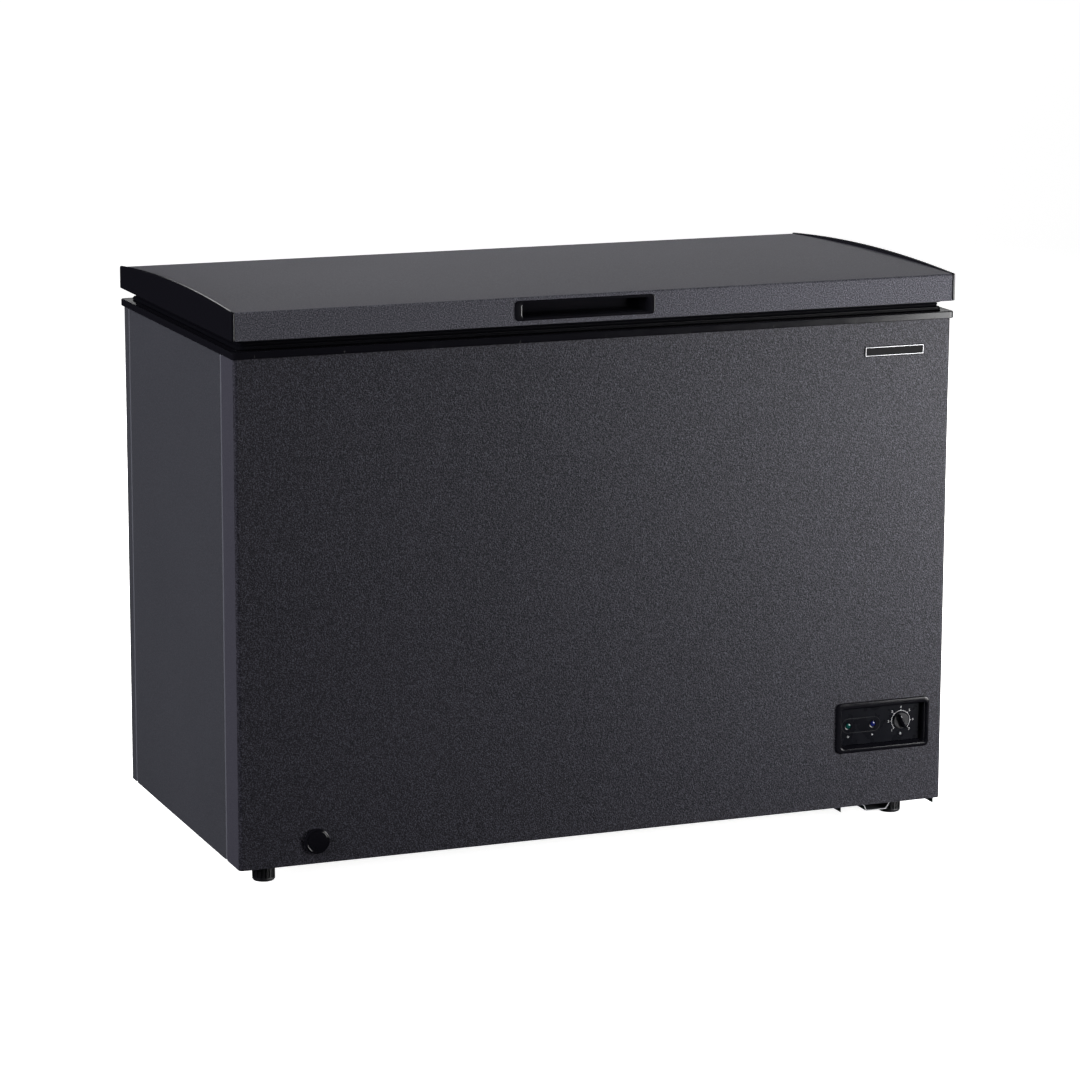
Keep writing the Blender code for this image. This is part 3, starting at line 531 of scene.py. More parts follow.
def grow(item, label, build, look, **sizes):
    """Run a Geometry Nodes tree on an object, and keep its result as a plain mesh."""
    tree = bpy.data.node_groups.new(label, "GeometryNodeTree")
    interface(tree, sizes)
    g = Graph(tree)
    entry = tree.nodes.new("NodeGroupInput")
    given = {socket.name: Value(g, socket) for socket in entry.outputs if socket.name}
    shape = build(g, given)
    shape = g.node("GeometryNodeRealizeInstances", {}, {"Geometry": shape})
    shape = g.node("GeometryNodeSetMaterial", {}, {"Geometry": shape, "Material": look})
    g.node("NodeGroupOutput", {}, {0: shape})
    modifier = item.modifiers.new(label, "NODES")
    modifier.node_group = tree
    for socket in tree.interface.items_tree:
        if socket.in_out == "INPUT" and socket.name in sizes:
            modifier[socket.identifier] = sizes[socket.name]
    return apply_modifiers(item)


def copies(g, given):
    """Copies of the given mesh, each moved by a step and turned by an angle from the last."""
    index = g.node("GeometryNodeInputIndex")
    points = g.node("GeometryNodePoints", {}, {"Count": given["Count"]})
    shift = g.node("ShaderNodeVectorMath", {"operation": "SCALE"},
                   {0: given["Step"], "Scale": index})
    spin = g.node("ShaderNodeVectorMath", {"operation": "SCALE"},
                  {0: given["Turn"], "Scale": index})
    placed = g.node("GeometryNodeSetPosition", {}, {"Geometry": points, "Offset": shift})
    return g.node("GeometryNodeInstanceOnPoints", {},
                  {"Points": placed, "Instance": given["Geometry"], "Rotation": spin})


def repeat(item, look, count, step=(0.0, 0.0, 0.0), spin=(0.0, 0.0, 0.0), centre=(0.0, 0.0, 0.0)):
    """A row or a ring of one small shape; a ring turns about its centre."""
    item.data.transform(Matrix.Translation(Vector(centre)).inverted())
    grow(item, f"{item.name}_row", copies, look, Count=count, Step=step, Turn=spin)
    item.data.transform(Matrix.Translation(Vector(centre)))
    return item


CLIP_PITCH = 0.1325
clip = block((-0.0005 - 4 * CLIP_PITCH, 0.0005 - 4 * CLIP_PITCH), (FRONT - 0.0004, FRONT + 0.0012),
             (collar_low[2] + 0.0002, collar_low[2] + 0.0052), "collar_clips")
round_edges(clip, 0.0002)
repeat(clip, gloss_plastic, 9, (CLIP_PITCH, 0.0, 0.0))
done(clip, "cabinet", gloss_plastic)


# --- Blank name plate ------------------------------------------------------------------------
# A thin black plate pressed into two holes at the upper right, with a fine satin rim and
# nothing written on it.

def satin_metal(g):
    """Brushed bright metal, with fine scratches along X."""
    flow = g.node("ShaderNodeMapping", {}, {"Vector": g.place(), "Scale": (6.0, 900.0, 900.0)})
    lines = g.noise(1.0, 4.0, 0.7, where=flow)
    g.surface(
        Base_Color=g.mix(lines, (0.42, 0.42, 0.44), (0.66, 0.66, 0.68)),
        Metallic=1.0,
        Roughness=0.24 + lines * 0.18,
        Normal=g.bump(lines, 0.0001, 0.3),
    )


def plate_black(g):
    """Black anodised face of the name plate."""
    haze = g.noise(260.0, 3.0)
    g.surface(
        Base_Color=g.mix(haze, (0.0030, 0.0030, 0.0036), (0.0070, 0.0070, 0.0080)),
        Roughness=0.46 + haze * 0.14,
        Specular_IOR_Level=0.10,
    )


brushed_metal = material("brushed_bright_metal", satin_metal)
anodised = material("black_anodised_plate", plate_black)
plate_low, plate_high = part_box("badge_plate")
plate_x, plate_z = (plate_low[0], plate_high[0]), (plate_low[2], plate_high[2])
plate_rows = [
    (0.0, 0.0, 0.0012, plate_high[1]), (0.0, 0.0, 0.0012, plate_low[1] + 0.0003),
    (0.0003, 0.0003, 0.0010, plate_low[1]), (0.0008, 0.0008, 0.0008, plate_low[1]),
    (0.0010, 0.0010, 0.0008, plate_low[1] + 0.0002),
]
plate = link("name_plate", stack("Y", plate_x, plate_z, plate_rows))
done(plate, "cabinet", anodised, ["badge_plate"])
rim_rows = [
    (0.0013, 0.0013, 0.0006, plate_low[1] + 0.0002), (0.0013, 0.0013, 0.0006, plate_low[1]),
    (0.0018, 0.0018, 0.0005, plate_low[1]), (0.0018, 0.0018, 0.0005, plate_low[1] + 0.0002),
]
rim = link("name_plate_rim", stack("Y", plate_x, plate_z, rim_rows, closed=True))
done(rim, "cabinet", brushed_metal)


# --- Lid -------------------------------------------------------------------------------------
# A crowned sheet folded down at the front and back, closed at each end by a glossy black cap
# whose arched top edge stands just above the sheet.

skin_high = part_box("lid_outer_panel")[1]
cap_low, cap_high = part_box("lid_end_cap_left")
LID_LOW = cap_low[2]
FRONT_TOP, BACK_TOP = 0.831, 0.823
LID_X = skin_high[0]
LID_EDGE = 0.003
LID_RISE, CAP_RISE = 0.0055, 0.010
# Painted light: the lid's flecks are much lighter than the front sheet's, for the light that falls on
# the lid from above.
LID_GREY = (0.008, 0.0078, 0.0110)
LID_FLECK_WITH_PAINTED_LIGHT = (0.134, 0.133, 0.158)


def crown(front_z, back_z, rise, inset, steps=48):
    """Arched top edge from front to back as (y, z) points."""
    y0, y1 = FRONT + inset, BACK - inset
    points = []
    for i in range(steps + 1):
        t = i / steps
        z = front_z + (back_z - front_z) * t + 4 * rise * t * (1 - t)
        points.append((y0 + (y1 - y0) * t, z))
    return points


def lid_profile():
    """The folded sheet in side view, from the front's lower edge over the top to the back's."""
    path = [(FRONT, LID_LOW)]
    path += arc((FRONT + LID_EDGE, FRONT_TOP - LID_EDGE), LID_EDGE, 180, 98, 8)
    path += crown(FRONT_TOP, BACK_TOP, LID_RISE, LID_EDGE + 0.0012)
    path += arc((BACK - LID_EDGE, BACK_TOP - LID_EDGE), LID_EDGE, 82, 0, 8)
    return path + [(BACK, LID_LOW)]


def lid_paint_look(g):
    """The same pebble paint with flecks painted lighter as painted light from above: strong on the
    front edge, laid almost smooth over the top, and painted lighter on the front edge as painted light.
    """
    front = g.axis("Y") < FRONT + LID_EDGE * 0.8
    pebble(g, front * 0.8 + 0.20, LID_GREY, LID_FLECK_WITH_PAINTED_LIGHT, front * 0.20, shine=0.10)


lid_paint = material("pebble_paint_lid", lid_paint_look)
cup_low, cup_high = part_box("lid_handle_cup")
cup_x, cup_z = (cup_low[0], cup_high[0]), (cup_low[2], cup_high[2])

lid_skin = sheet("lid_skin", lid_profile(), "X", -LID_X, LID_X, -SHEET)
carve(lid_skin, block((cup_x[0] + 0.0055, cup_x[1] - 0.0055), (FRONT - 0.02, FRONT + 0.02),
                      (cup_z[0] + 0.0026, cup_z[1] - 0.0026)))
done(lid_skin, "lid", lid_paint, ["lid_outer_panel"], sharp=30)

cap_outline = [(FRONT, LID_LOW), (FRONT, FRONT_TOP - 0.0015)]
cap_outline += crown(FRONT_TOP + 0.0005, BACK_TOP + 0.0015, CAP_RISE, 0.002)
cap_outline += [(BACK, BACK_TOP - 0.001), (BACK, LID_LOW)]
for side, x0 in (("left", cap_low[0]), ("right", HALF - (cap_high[0] - cap_low[0]))):
    cap = prism(f"end_cap_{side}", cap_outline, "X", x0, x0 + cap_high[0] - cap_low[0])
    round_edges(cap, 0.0016, 4, 50)
    done(cap, "lid", gloss_plastic, [f"lid_end_cap_{side}"], sharp=60)


# --- Handle cup ------------------------------------------------------------------------------
# A black moulding let into the lid's front edge. Fingers go into its pocket, whose roof and
# floor step inwards.

POCKET_X, POCKET_Z = 0.0115, 0.0048
face = cup_low[1]
cup_rows = [
    (0.0056, 0.0027, 0.003, cup_high[1]), (0.0056, 0.0027, 0.003, FRONT - 0.0002),
    (0.0, 0.0, 0.006, FRONT - 0.0002), (0.0, 0.0, 0.006, FRONT - 0.0008),
    (0.0004, 0.0004, 0.0057, FRONT - 0.0013), (0.0012, 0.0012, 0.005, face),
    (POCKET_X - 0.0022, POCKET_Z - 0.0012, 0.0052, face),
    (POCKET_X - 0.0006, POCKET_Z - 0.0004, 0.0046, face + 0.0009),
    (POCKET_X, POCKET_Z, 0.0042, face + 0.0026), (POCKET_X, POCKET_Z, 0.0042, face + 0.0120),
    (POCKET_X + 0.0012, POCKET_Z + 0.0014, 0.0036, face + 0.0128),
    (POCKET_X + 0.0012, POCKET_Z + 0.0014, 0.0036, face + 0.0215),
    (POCKET_X + 0.0026, POCKET_Z + 0.0026, 0.0030, face + 0.0225),
    (POCKET_X + 0.0030, POCKET_Z + 0.0030, 0.0026, face + 0.0282),
]
cup = link("handle_cup", stack("Y", cup_x, cup_z, cup_rows))
done(cup, "lid", gloss_plastic, ["lid_handle_cup"])
rib_x = (cup_x[0] + 0.016, cup_x[1] - 0.016)
rib = block(rib_x, (face + 0.0040, face + 0.0050), (cup_z[0] + POCKET_Z, cup_z[0] + POCKET_Z + 0.0006),
            "handle_grip_ribs")
repeat(rib, gloss_plastic, 4, (0.0, 0.0020, 0.0))
done(rib, "lid", gloss_plastic)


# --- Lid gasket ------------------------------------------------------------------------------
# A soft black bellows with a magnet in its foot. It closes the gap between lid and collar.

def soft_rubber(g):
    grain = g.noise(420.0, 3.0, 0.6)
    g.surface(
        Base_Color=g.mix(grain, (0.0016, 0.0016, 0.0026), (0.0042, 0.0042, 0.0060)),
        Roughness=0.34 + grain * 0.14,
        Specular_IOR_Level=0.12,
        Normal=g.bump(grain, 0.0002, 0.3),
    )


rubber = material("black_rubber", soft_rubber)
seal_low, seal_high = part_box("lid_gasket")
seal_x, seal_y = (seal_low[0], seal_high[0]), (seal_low[1], seal_high[1])
zb, zt = seal_low[2], seal_high[2]
SEAL_WIDTH = 0.026
seal_side = [  # outer bellows, from the foot up: inset and height
    (0.0006, zb), (0.0, zb + 0.0007), (0.0, zb + 0.0028), (0.0010, zb + 0.0036),
    (0.0010, zb + 0.0046), (0.0040, zb + 0.0056), (0.0044, zb + 0.0066), (0.0030, zb + 0.0078),
    (0.0032, zb + 0.0088), (0.0044, zb + 0.0098), (0.0030, zb + 0.0110), (0.0004, zb + 0.0116),
    (0.0, zb + 0.0122), (0.0, zt - 0.0006), (0.0006, zt),
]
seal_rows = [(a, a, 0.010, z) for a, z in seal_side]
seal_rows += [(SEAL_WIDTH - a, SEAL_WIDTH - a, 0.006, z) for a, z in reversed(seal_side)]
seal = link("bellows_gasket", stack("Z", seal_x, seal_y, seal_rows, closed=True))
done(seal, "lid", rubber, ["lid_gasket"], sharp=50)


# --- Inside of the lid -----------------------------------------------------------------------
# A white vacuum-formed sheet. Its middle dips into the cabinet's mouth and is pressed with
# shallow fields that stiffen it.

def white_sheet(g):
    """White painted or formed sheet with a light orange-peel surface."""
    peel = g.noise(160.0, 2.0)
    shade = g.noise(3.0, 3.0)
    g.surface(
        Base_Color=g.mix(shade, (0.72, 0.73, 0.74), (0.80, 0.81, 0.82)),
        Roughness=0.30 + peel * 0.12,
        Normal=g.bump(peel, 0.0003, 0.25),
    )


white = material("white_liner", white_sheet)
lining_low, lining_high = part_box("lid_inner_liner")
lining_x, lining_y = (lining_low[0], lining_high[0]), (lining_low[1], lining_high[1])
lz0, lz1 = lining_low[2], lining_high[2]
DIP_HALF, DIP_FRONT = 0.492, FRONT + 0.0705  # the plug that dips into the mouth
dip_x = lining_high[0] - DIP_HALF
dip_y = DIP_FRONT - lining_low[1]
lining_rows = [
    (0.0, 0.0, 0.006, lz1), (0.0, 0.0, 0.006, lz1 - 0.0013),
    (dip_x - 0.003, dip_y - 0.003, 0.018, lz1 - 0.0013), (dip_x, dip_y, 0.016, lz1 - 0.0040),
    (dip_x + 0.0002, dip_y + 0.0002, 0.016, lz0 + 0.0010),
    (dip_x + 0.0010, dip_y + 0.0010, 0.015, lz0), (dip_x + 0.034, dip_y + 0.034, 0.030, lz0),
    (dip_x + 0.036, dip_y + 0.036, 0.028, lz0 + 0.0008),
    (dip_x + 0.060, dip_y + 0.060, 0.020, lz0 + 0.0008),
    (dip_x + 0.062, dip_y + 0.062, 0.018, lz0),
]
lining = link("lid_lining", stack("Z", lining_x, lining_y, lining_rows))
done(lining, "lid", white, ["lid_inner_liner"])


# --- Inner tub -------------------------------------------------------------------------------
# White-painted embossed sheet: four walls, a floor, a step over the compressor bay and a ledge
# round the mouth that carries the basket.

TUB_X, TUB_FRONT, TUB_BACK, TUB_FLOOR = 0.4975, FRONT + 0.065, BACK - 0.065, 0.086
LEDGE_Z, STEP_X, STEP_Z = 0.746, 0.335, 0.320
TUB_CORNER = 0.012
TUB_FLANGE = 0.530
flange_z = tub_high[2]


def stucco_sheet(g):
    """White sheet with a fine stucco emboss."""
    cells = g.node("ShaderNodeTexVoronoi", {"feature": "F1"},
                   {"Vector": g.place(), "Scale": 190.0}, out="Distance")
    shade = g.noise(4.0, 3.0)
    g.surface(
        Base_Color=g.mix(shade, (0.70, 0.71, 0.72), (0.78, 0.79, 0.80)),
        Roughness=0.34 + cells * 0.10,
        Normal=g.bump(cells, 0.0008, 0.35),
    )


stucco = material("stucco_liner", stucco_sheet)


def tub_shape(name, grow_by, low, high, floor_radius=0.0):
    """The tub's plan as a block, with a round edge at its floor."""
    rows = []
    for step in range(5 if floor_radius else 1):
        angle = math.radians(90 * step / 4)
        inset = floor_radius * (1 - math.sin(angle))
        rows.append((inset, inset, TUB_CORNER + grow_by - inset * 0.3,
                     low + floor_radius * (1 - math.cos(angle))))
    rows.append((0.0, 0.0, TUB_CORNER + grow_by, high))
    x = (-TUB_X - grow_by, TUB_X + grow_by)
    y = (TUB_FRONT - grow_by, TUB_BACK + grow_by)
    return link(name, stack("Z", x, y, rows, steps=6))


def step_block(x, z):
    """A block over the compressor bay, larger than the tub on its other sides."""
    return block((x, x + 0.5), (-1.0, 1.0), (-0.5, z), "step")


tub_body_rows = [
    (0.0, 0.0, 0.0445, flange_z), (0.0, 0.0, 0.0445, flange_z - 0.001),
    (0.0235, 0.0235, 0.0210, flange_z - 0.001), (0.0235, 0.0235, 0.0210, LEDGE_Z - 0.001),
    (0.0315, 0.0315, TUB_CORNER + 0.001, LEDGE_Z - 0.001),
    (0.0315, 0.0315, TUB_CORNER + 0.001, TUB_FLOOR - 0.001),
]
tub = link("tub", stack("Z", (-TUB_FLANGE, TUB_FLANGE), (tub_low[1], tub_high[1]), tub_body_rows,
                        steps=6))
hollow = tub_shape("hollow", 0.0, TUB_FLOOR, 0.9, 0.006)
carve(hollow, step_block(STEP_X, STEP_Z))
carve(tub, step_block(STEP_X + 0.001, STEP_Z - 0.001), hollow,
      tub_shape("mouth", 0.008, LEDGE_Z, 0.9))
drain_plug_low, drain_plug_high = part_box("drain_plug")
PLUG = centre_of((drain_plug_low, drain_plug_high), 0, 1)
carve(tub, prism("hole", arc(PLUG, 0.0084, 0, 345, 23), "Z", 0.07, 0.10))
done(tub, "cabinet", stucco, ["inner_liner"])


# --- Storage basket --------------------------------------------------------------------------
# White plastic-coated steel wire. Bent wires run down, across and up in both directions; a
# thicker rim hooks over the ledge, and a second band ties the walls half-way up.

def coated_wire(g):
    gloss = g.noise(60.0, 2.0)
    g.surface(Base_Color=g.mix(gloss, (0.76, 0.77, 0.78), (0.84, 0.85, 0.86)),
              Roughness=0.25 + gloss * 0.15, Normal=g.bump(gloss, 0.0003, 0.2))


wire_white = material("coated_wire", coated_wire)
basket_low, basket_high = (Vector(p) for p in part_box("storage_basket"))
WIRE = 0.0016
RIM_WIRE = 0.0023


def wires(g, given):
    """A bent wire with round corners, copied in a row and given its thickness."""
    path = g.node("GeometryNodeMeshToCurve", {}, {"Mesh": given["Geometry"]})
    path = g.node("GeometryNodeFilletCurve", {"mode": "POLY"},
                  {"Curve": path, "Radius": given["Bend"], "Count": 4})
    index = g.node("GeometryNodeInputIndex")
    points = g.node("GeometryNodePoints", {}, {"Count": given["Count"]})
    shift = g.node("ShaderNodeVectorMath", {"operation": "SCALE"},
                   {0: given["Step"], "Scale": index})
    placed = g.node("GeometryNodeSetPosition", {}, {"Geometry": points, "Offset": shift})
    row = g.node("GeometryNodeInstanceOnPoints", {}, {"Points": placed, "Instance": path})
    row = g.node("GeometryNodeRealizeInstances", {}, {"Geometry": row})
    section = g.node("GeometryNodeCurvePrimitiveCircle", {"mode": "RADIUS"},
                     {"Resolution": 8, "Radius": given["Thickness"]})
    return g.node("GeometryNodeCurveToMesh", {},
                  {"Curve": row, "Profile Curve": section, "Fill Caps": True})


def wire_row(name, points, thickness, bend, look, count=1, step=(0.0, 0.0, 0.0), looped=False):
    """Bent wires in a row, as one mesh."""
    edges = [(i, i + 1) for i in range(len(points) - 1)]
    if looped:
        edges.append((len(points) - 1, 0))
    mesh = bpy.data.meshes.new(name)
    mesh.from_pydata(points, edges, [])
    item = link(name, mesh)
    return grow(item, name, wires, look, Count=count, Step=step, Bend=bend, Thickness=thickness)


bx0, bx1 = basket_low.x + RIM_WIRE, basket_high.x - RIM_WIRE
by0, by1 = basket_low.y + RIM_WIRE, basket_high.y - RIM_WIRE
b_floor = basket_low.z + WIRE
b_rim = LEDGE_Z + RIM_WIRE + 0.0004
HOOK = 0.0125
WALL_IN, FLOOR_IN = 0.004, 0.016
basket_parts = []
count_x = 13
pitch_x = (bx1 - bx0 - 2 * FLOOR_IN) / (count_x - 1)
across = [
    (bx0 + FLOOR_IN, by0 + HOOK, b_rim - RIM_WIRE),
    (bx0 + FLOOR_IN, by0 + HOOK + FLOOR_IN, b_floor),
    (bx0 + FLOOR_IN, by1 - HOOK - FLOOR_IN, b_floor),
    (bx0 + FLOOR_IN, by1 - HOOK, b_rim - RIM_WIRE),
]
basket_parts.append(wire_row("basket", across, WIRE, 0.014, wire_white, count_x, (pitch_x, 0.0, 0.0)))
count_y = 18
pitch_y = (by1 - by0 - 2 * HOOK - 2 * FLOOR_IN) / (count_y - 1)
along = [
    (bx0 + WALL_IN, by0 + HOOK + FLOOR_IN, b_rim - RIM_WIRE),
    (bx0 + FLOOR_IN, by0 + HOOK + FLOOR_IN, b_floor + 2 * WIRE),
    (bx1 - FLOOR_IN, by0 + HOOK + FLOOR_IN, b_floor + 2 * WIRE),
    (bx1 - WALL_IN, by0 + HOOK + FLOOR_IN, b_rim - RIM_WIRE),
]
basket_parts.append(wire_row("basket_along", along, WIRE, 0.014, wire_white, count_y,
                             (0.0, pitch_y, 0.0)))


def band(name, inset_x, inset_y, z, thickness, bend):
    x0, x1, y0, y1 = bx0 + inset_x, bx1 - inset_x, by0 + inset_y, by1 - inset_y
    corners = [(x0, y0, z), (x1, y0, z), (x1, y1, z), (x0, y1, z)]
    return wire_row(name, corners, thickness, bend, wire_white, looped=True)


middle = (b_rim + b_floor) / 2
basket_parts.append(band("basket_top", WALL_IN - 0.001, HOOK - 0.002, b_rim - 2 * RIM_WIRE,
                         RIM_WIRE, 0.016))
basket_parts.append(band("basket_middle", 0.0065, HOOK + 0.0045, middle, RIM_WIRE, 0.016))
hook_x = (bx1 - bx0) * 0.18
for label, y_in, y_out in (("front", by0 + HOOK, by0 + 0.0005), ("back", by1 - HOOK, by1 - 0.0005)):
    hook = [
        (bx0 + hook_x, y_in, b_rim - 0.030), (bx0 + hook_x, y_in, b_rim),
        (bx0 + hook_x, y_out, b_rim), (bx1 - hook_x, y_out, b_rim), (bx1 - hook_x, y_in, b_rim),
        (bx1 - hook_x, y_in, b_rim - 0.030),
    ]
    basket_parts.append(wire_row(f"basket_hook_{label}", hook, RIM_WIRE, 0.004, wire_white))
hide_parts("storage_basket")
for part in basket_parts:
    done(part, "basket", wire_white)


# --- Bottom panel and base plate -------------------------------------------------------------
# Galvanised sheet. The base plate carries the compressor; its folded edges show below
# the front sheet at the right corner, its front edge painted bright as a painted highlight.

def spangled_zinc(g):
    """Galvanised steel with soft spangles."""
    cells = g.node("ShaderNodeTexVoronoi", {"feature": "F1"},
                   {"Vector": g.place(), "Scale": 150.0}, out="Color")
    tone = g.node("ShaderNodeSeparateColor", {}, {"Color": cells})
    fine = g.noise(300.0, 2.0)
    g.surface(
        Base_Color=g.mix(tone, (0.36, 0.37, 0.38), (0.46, 0.47, 0.48)),
        Metallic=0.35,
        Roughness=0.36 + tone * 0.08 + fine * 0.10,
        Normal=g.bump(fine, 0.0001, 0.3),
    )


zinc = material("galvanised_sheet", spangled_zinc)


def refined(name, node, body, look, width=0.0, sharp=35):
    """A CAD part's own shape, its faces joined, and its edges eased when a width is given."""
    work = bmesh.new()
    work.from_mesh(nodes[node].data)
    bmesh.ops.remove_doubles(work, verts=work.verts, dist=2e-6)
    bmesh.ops.dissolve_limit(work, angle_limit=math.radians(0.4), verts=work.verts,
                             edges=work.edges)
    bmesh.ops.recalc_face_normals(work, faces=work.faces)
    mesh = bpy.data.meshes.new(name)
    work.to_mesh(mesh)
    work.free()
    item = link(name, mesh)
    if width:
        round_edges(item, width)
    return done(item, body, look, [node], sharp)


refined("bottom_sheet", "bottom_panel", "cabinet", zinc)


def cut_edge_look(g):
    """The same steel, painted bright along the bare sheared front edge: a painted highlight."""
    fine = g.noise(300.0, 2.0)
    bare_edge_and_highlight = g.axis("Y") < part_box("base_plate")[0][1] + 0.0008
    g.surface(
        Base_Color=g.mix(bare_edge_and_highlight, (0.16, 0.165, 0.18), (0.52, 0.53, 0.55)),
        Metallic=0.9 - bare_edge_and_highlight * 0.9,
        Roughness=0.42 + fine * 0.14,
        Normal=g.bump(fine, 0.0001, 0.3),
    )


refined("compressor_base", "base_plate", "cabinet", material("sheared_zinc", cut_edge_look),
        0.0003)


# --- Feet ------------------------------------------------------------------------------------
# Black moulded feet on steel studs. Each screws into the bottom to level the cabinet, and its
# side is ribbed for grip.

def dull_black(g):
    """Unpolished black plastic with a fine spark-eroded grain."""
    grain = g.noise(700.0, 3.0, 0.6)
    g.surface(
        Base_Color=g.mix(grain, (0.0050, 0.0050, 0.0064), (0.0120, 0.0120, 0.0145)),
        Roughness=0.40 + grain * 0.22,
        Normal=g.bump(grain, 0.0002, 0.4),
    )


dull_plastic = material("matte_black_plastic", dull_black)


def turned(name, axis, centre, profile, steps=40, closed=False):
    """A round solid; each profile row is (radius, depth along the axis)."""
    loops = []
    for radius, depth in profile:
        circle = arc(centre, radius, 0, 360, steps)[:-1]
        loops.append([at(axis, a, b, depth) for a, b in circle])
    return link(name, skin(loops, closed))


FOOT_RIBS = 20
STUD_TURNS, STUD_PITCH = 18, 0.00125
for corner in ("front_left", "front_right", "rear_left", "rear_right"):
    spot = centre_of(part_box(f"foot_{corner}"), 0, 1)
    foot = turned(f"foot_{corner}_moulding", "Z", spot, [
        (0.0042, 0.0266), (0.0178, 0.0266), (0.0184, 0.0260), (0.0184, 0.0222),
        (0.0176, 0.0214), (0.0160, 0.0206), (0.0152, 0.0060), (0.0166, 0.0042),
        (0.0166, 0.0026), (0.0150, 0.0004), (0.0136, 0.0), (0.0010, 0.0),
    ], 48)
    done(foot, f"foot_{corner}_body", dull_plastic, [f"foot_{corner}"])
    ridge = block((spot[0] + 0.0150, spot[0] + 0.0166), (spot[1] - 0.0009, spot[1] + 0.0009),
                  (0.0050, 0.0210), f"foot_{corner}_ribs")
    round_edges(ridge, 0.0004)
    repeat(ridge, dull_plastic, FOOT_RIBS, spin=(0.0, 0.0, 2 * math.pi / FOOT_RIBS),
           centre=(*spot, 0.0))
    done(ridge, f"foot_{corner}_body", dull_plastic)
    stud = [(0.0030, 0.0500)]
    for i in range(STUD_TURNS):
        z = 0.0494 - i * STUD_PITCH
        stud += [(0.0041, z), (0.0034, z - STUD_PITCH / 2)]
    stud += [(0.0034, 0.0264)]
    stud_item = turned(f"foot_{corner}_stud", "Z", spot, stud, 20)
    done(stud_item, f"foot_{corner}_body", brushed_metal, sharp=70)


# --- Defrost drain ---------------------------------------------------------------------------
# A push-in black cap at the lower left closes the drain tube, which runs through the foam from
# a second, white plug in the tub's floor.

cap_face, cap_rear, cap_end = drain_low[1], SHELL_FRONT - 0.0003, drain_high[1]
drain_cover = turned("drain_cover", "Y", DRAIN, [
    (0.0060, cap_end), (0.0068, cap_end - 0.0012), (0.0068, cap_rear), (0.0180, cap_rear),
    (0.0187, cap_rear - 0.0006), (0.0187, cap_face + 0.0026), (0.0181, cap_face + 0.0014),
    (0.0168, cap_face + 0.0008), (0.0160, cap_face + 0.0009), (0.0154, cap_face + 0.0014),
    (0.0148, cap_face + 0.0010), (0.0115, cap_face + 0.0004), (0.0060, cap_face + 0.0001),
    (0.0010, cap_face),
], 56)
done(drain_cover, "outer_drain_cap", gloss_plastic, ["drain_cap"], sharp=50)
refined("drain_pipe", "drain_tube", "cabinet", white, sharp=50)
plug_top = drain_plug_high[2]
stopper = turned("drain_stopper", "Z", PLUG, [
    (0.0062, drain_plug_low[2]), (0.0070, drain_plug_low[2] + 0.0012), (0.0072, 0.0864),
    (0.0136, 0.0864), (0.0140, 0.0869), (0.0140, plug_top - 0.0026), (0.0132, plug_top - 0.0016),
    (0.0050, plug_top - 0.0012), (0.0036, plug_top - 0.0004), (0.0030, plug_top),
    (0.0008, plug_top),
])
done(stopper, "inner_drain_plug", white, ["drain_plug"])


# --- Control panel ---------------------------------------------------------------------------
# A glossy black bezel frames a sunken fascia with two lamps and the thermostat dial. Dial
# marks are pad-printed in white.

WINDOW_X, WINDOW_Z = (0.3935, 0.5280), (0.1195, 0.1757)
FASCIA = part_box("control_fascia")[0][1]
bezel_x, bezel_z = (bezel_low[0], bezel_high[0]), (bezel_low[2], bezel_high[2])
bezel_face, bezel_end = bezel_low[1], bezel_high[1]


def sides(inset_x, inset_z, window_x=0.0, window_z=0.0):
    """Limits of a rectangle between the bezel's outline and its window."""
    x = (bezel_x[0] + inset_x, bezel_x[1] - inset_x)
    z = (bezel_z[0] + inset_z, bezel_z[1] - inset_z)
    if window_x or window_z:
        x = (WINDOW_X[0] - window_x, WINDOW_X[1] + window_x)
        z = (WINDOW_Z[0] - window_z, WINDOW_Z[1] + window_z)
    return x, z


bezel_rows = [
    (sides(0.0076, 0.0066), 0.003, bezel_end), (sides(0.0076, 0.0066), 0.003, SHELL_FRONT - 0.0003),
    (sides(0, 0), 0.008, SHELL_FRONT - 0.0003), (sides(0, 0), 0.008, bezel_face + 0.0016),
    (sides(0.0005, 0.0005), 0.0076, bezel_face + 0.0006), (sides(0.0017, 0.0017), 0.0066, bezel_face),
    (sides(0, 0, 0.0052, 0.0040), 0.0052, bezel_face),
    (sides(0, 0, 0.0042, 0.0032), 0.0045, bezel_face + 0.0004),
    (sides(0, 0, 0.0014, 0.0011), 0.0024, FASCIA - 0.0030),
    (sides(0, 0, 0.0001, 0.0001), 0.0016, FASCIA - 0.0022),
    (sides(0, 0, 0.0001, 0.0001), 0.0016, bezel_end),
]
loops = []
for (x, z), radius, depth in bezel_rows:
    loops.append([at("Y", a, b, depth) for a, b in rounded(x, z, radius)])
bezel = link("control_frame", skin(loops, closed=True))
done(bezel, "cabinet", gloss_plastic, ["control_bezel"])


def fascia_look(g):
    """Black film with a faint blue tint in its gloss."""
    smear = g.noise(55.0, 3.0)
    g.surface(
        Base_Color=g.mix(smear, (0.0016, 0.0018, 0.0032), (0.0036, 0.0042, 0.0074)),
        Roughness=0.20 + smear * 0.16,
        Specular_IOR_Level=0.10,
        Normal=g.bump(smear, 0.0003, 0.1),
    )


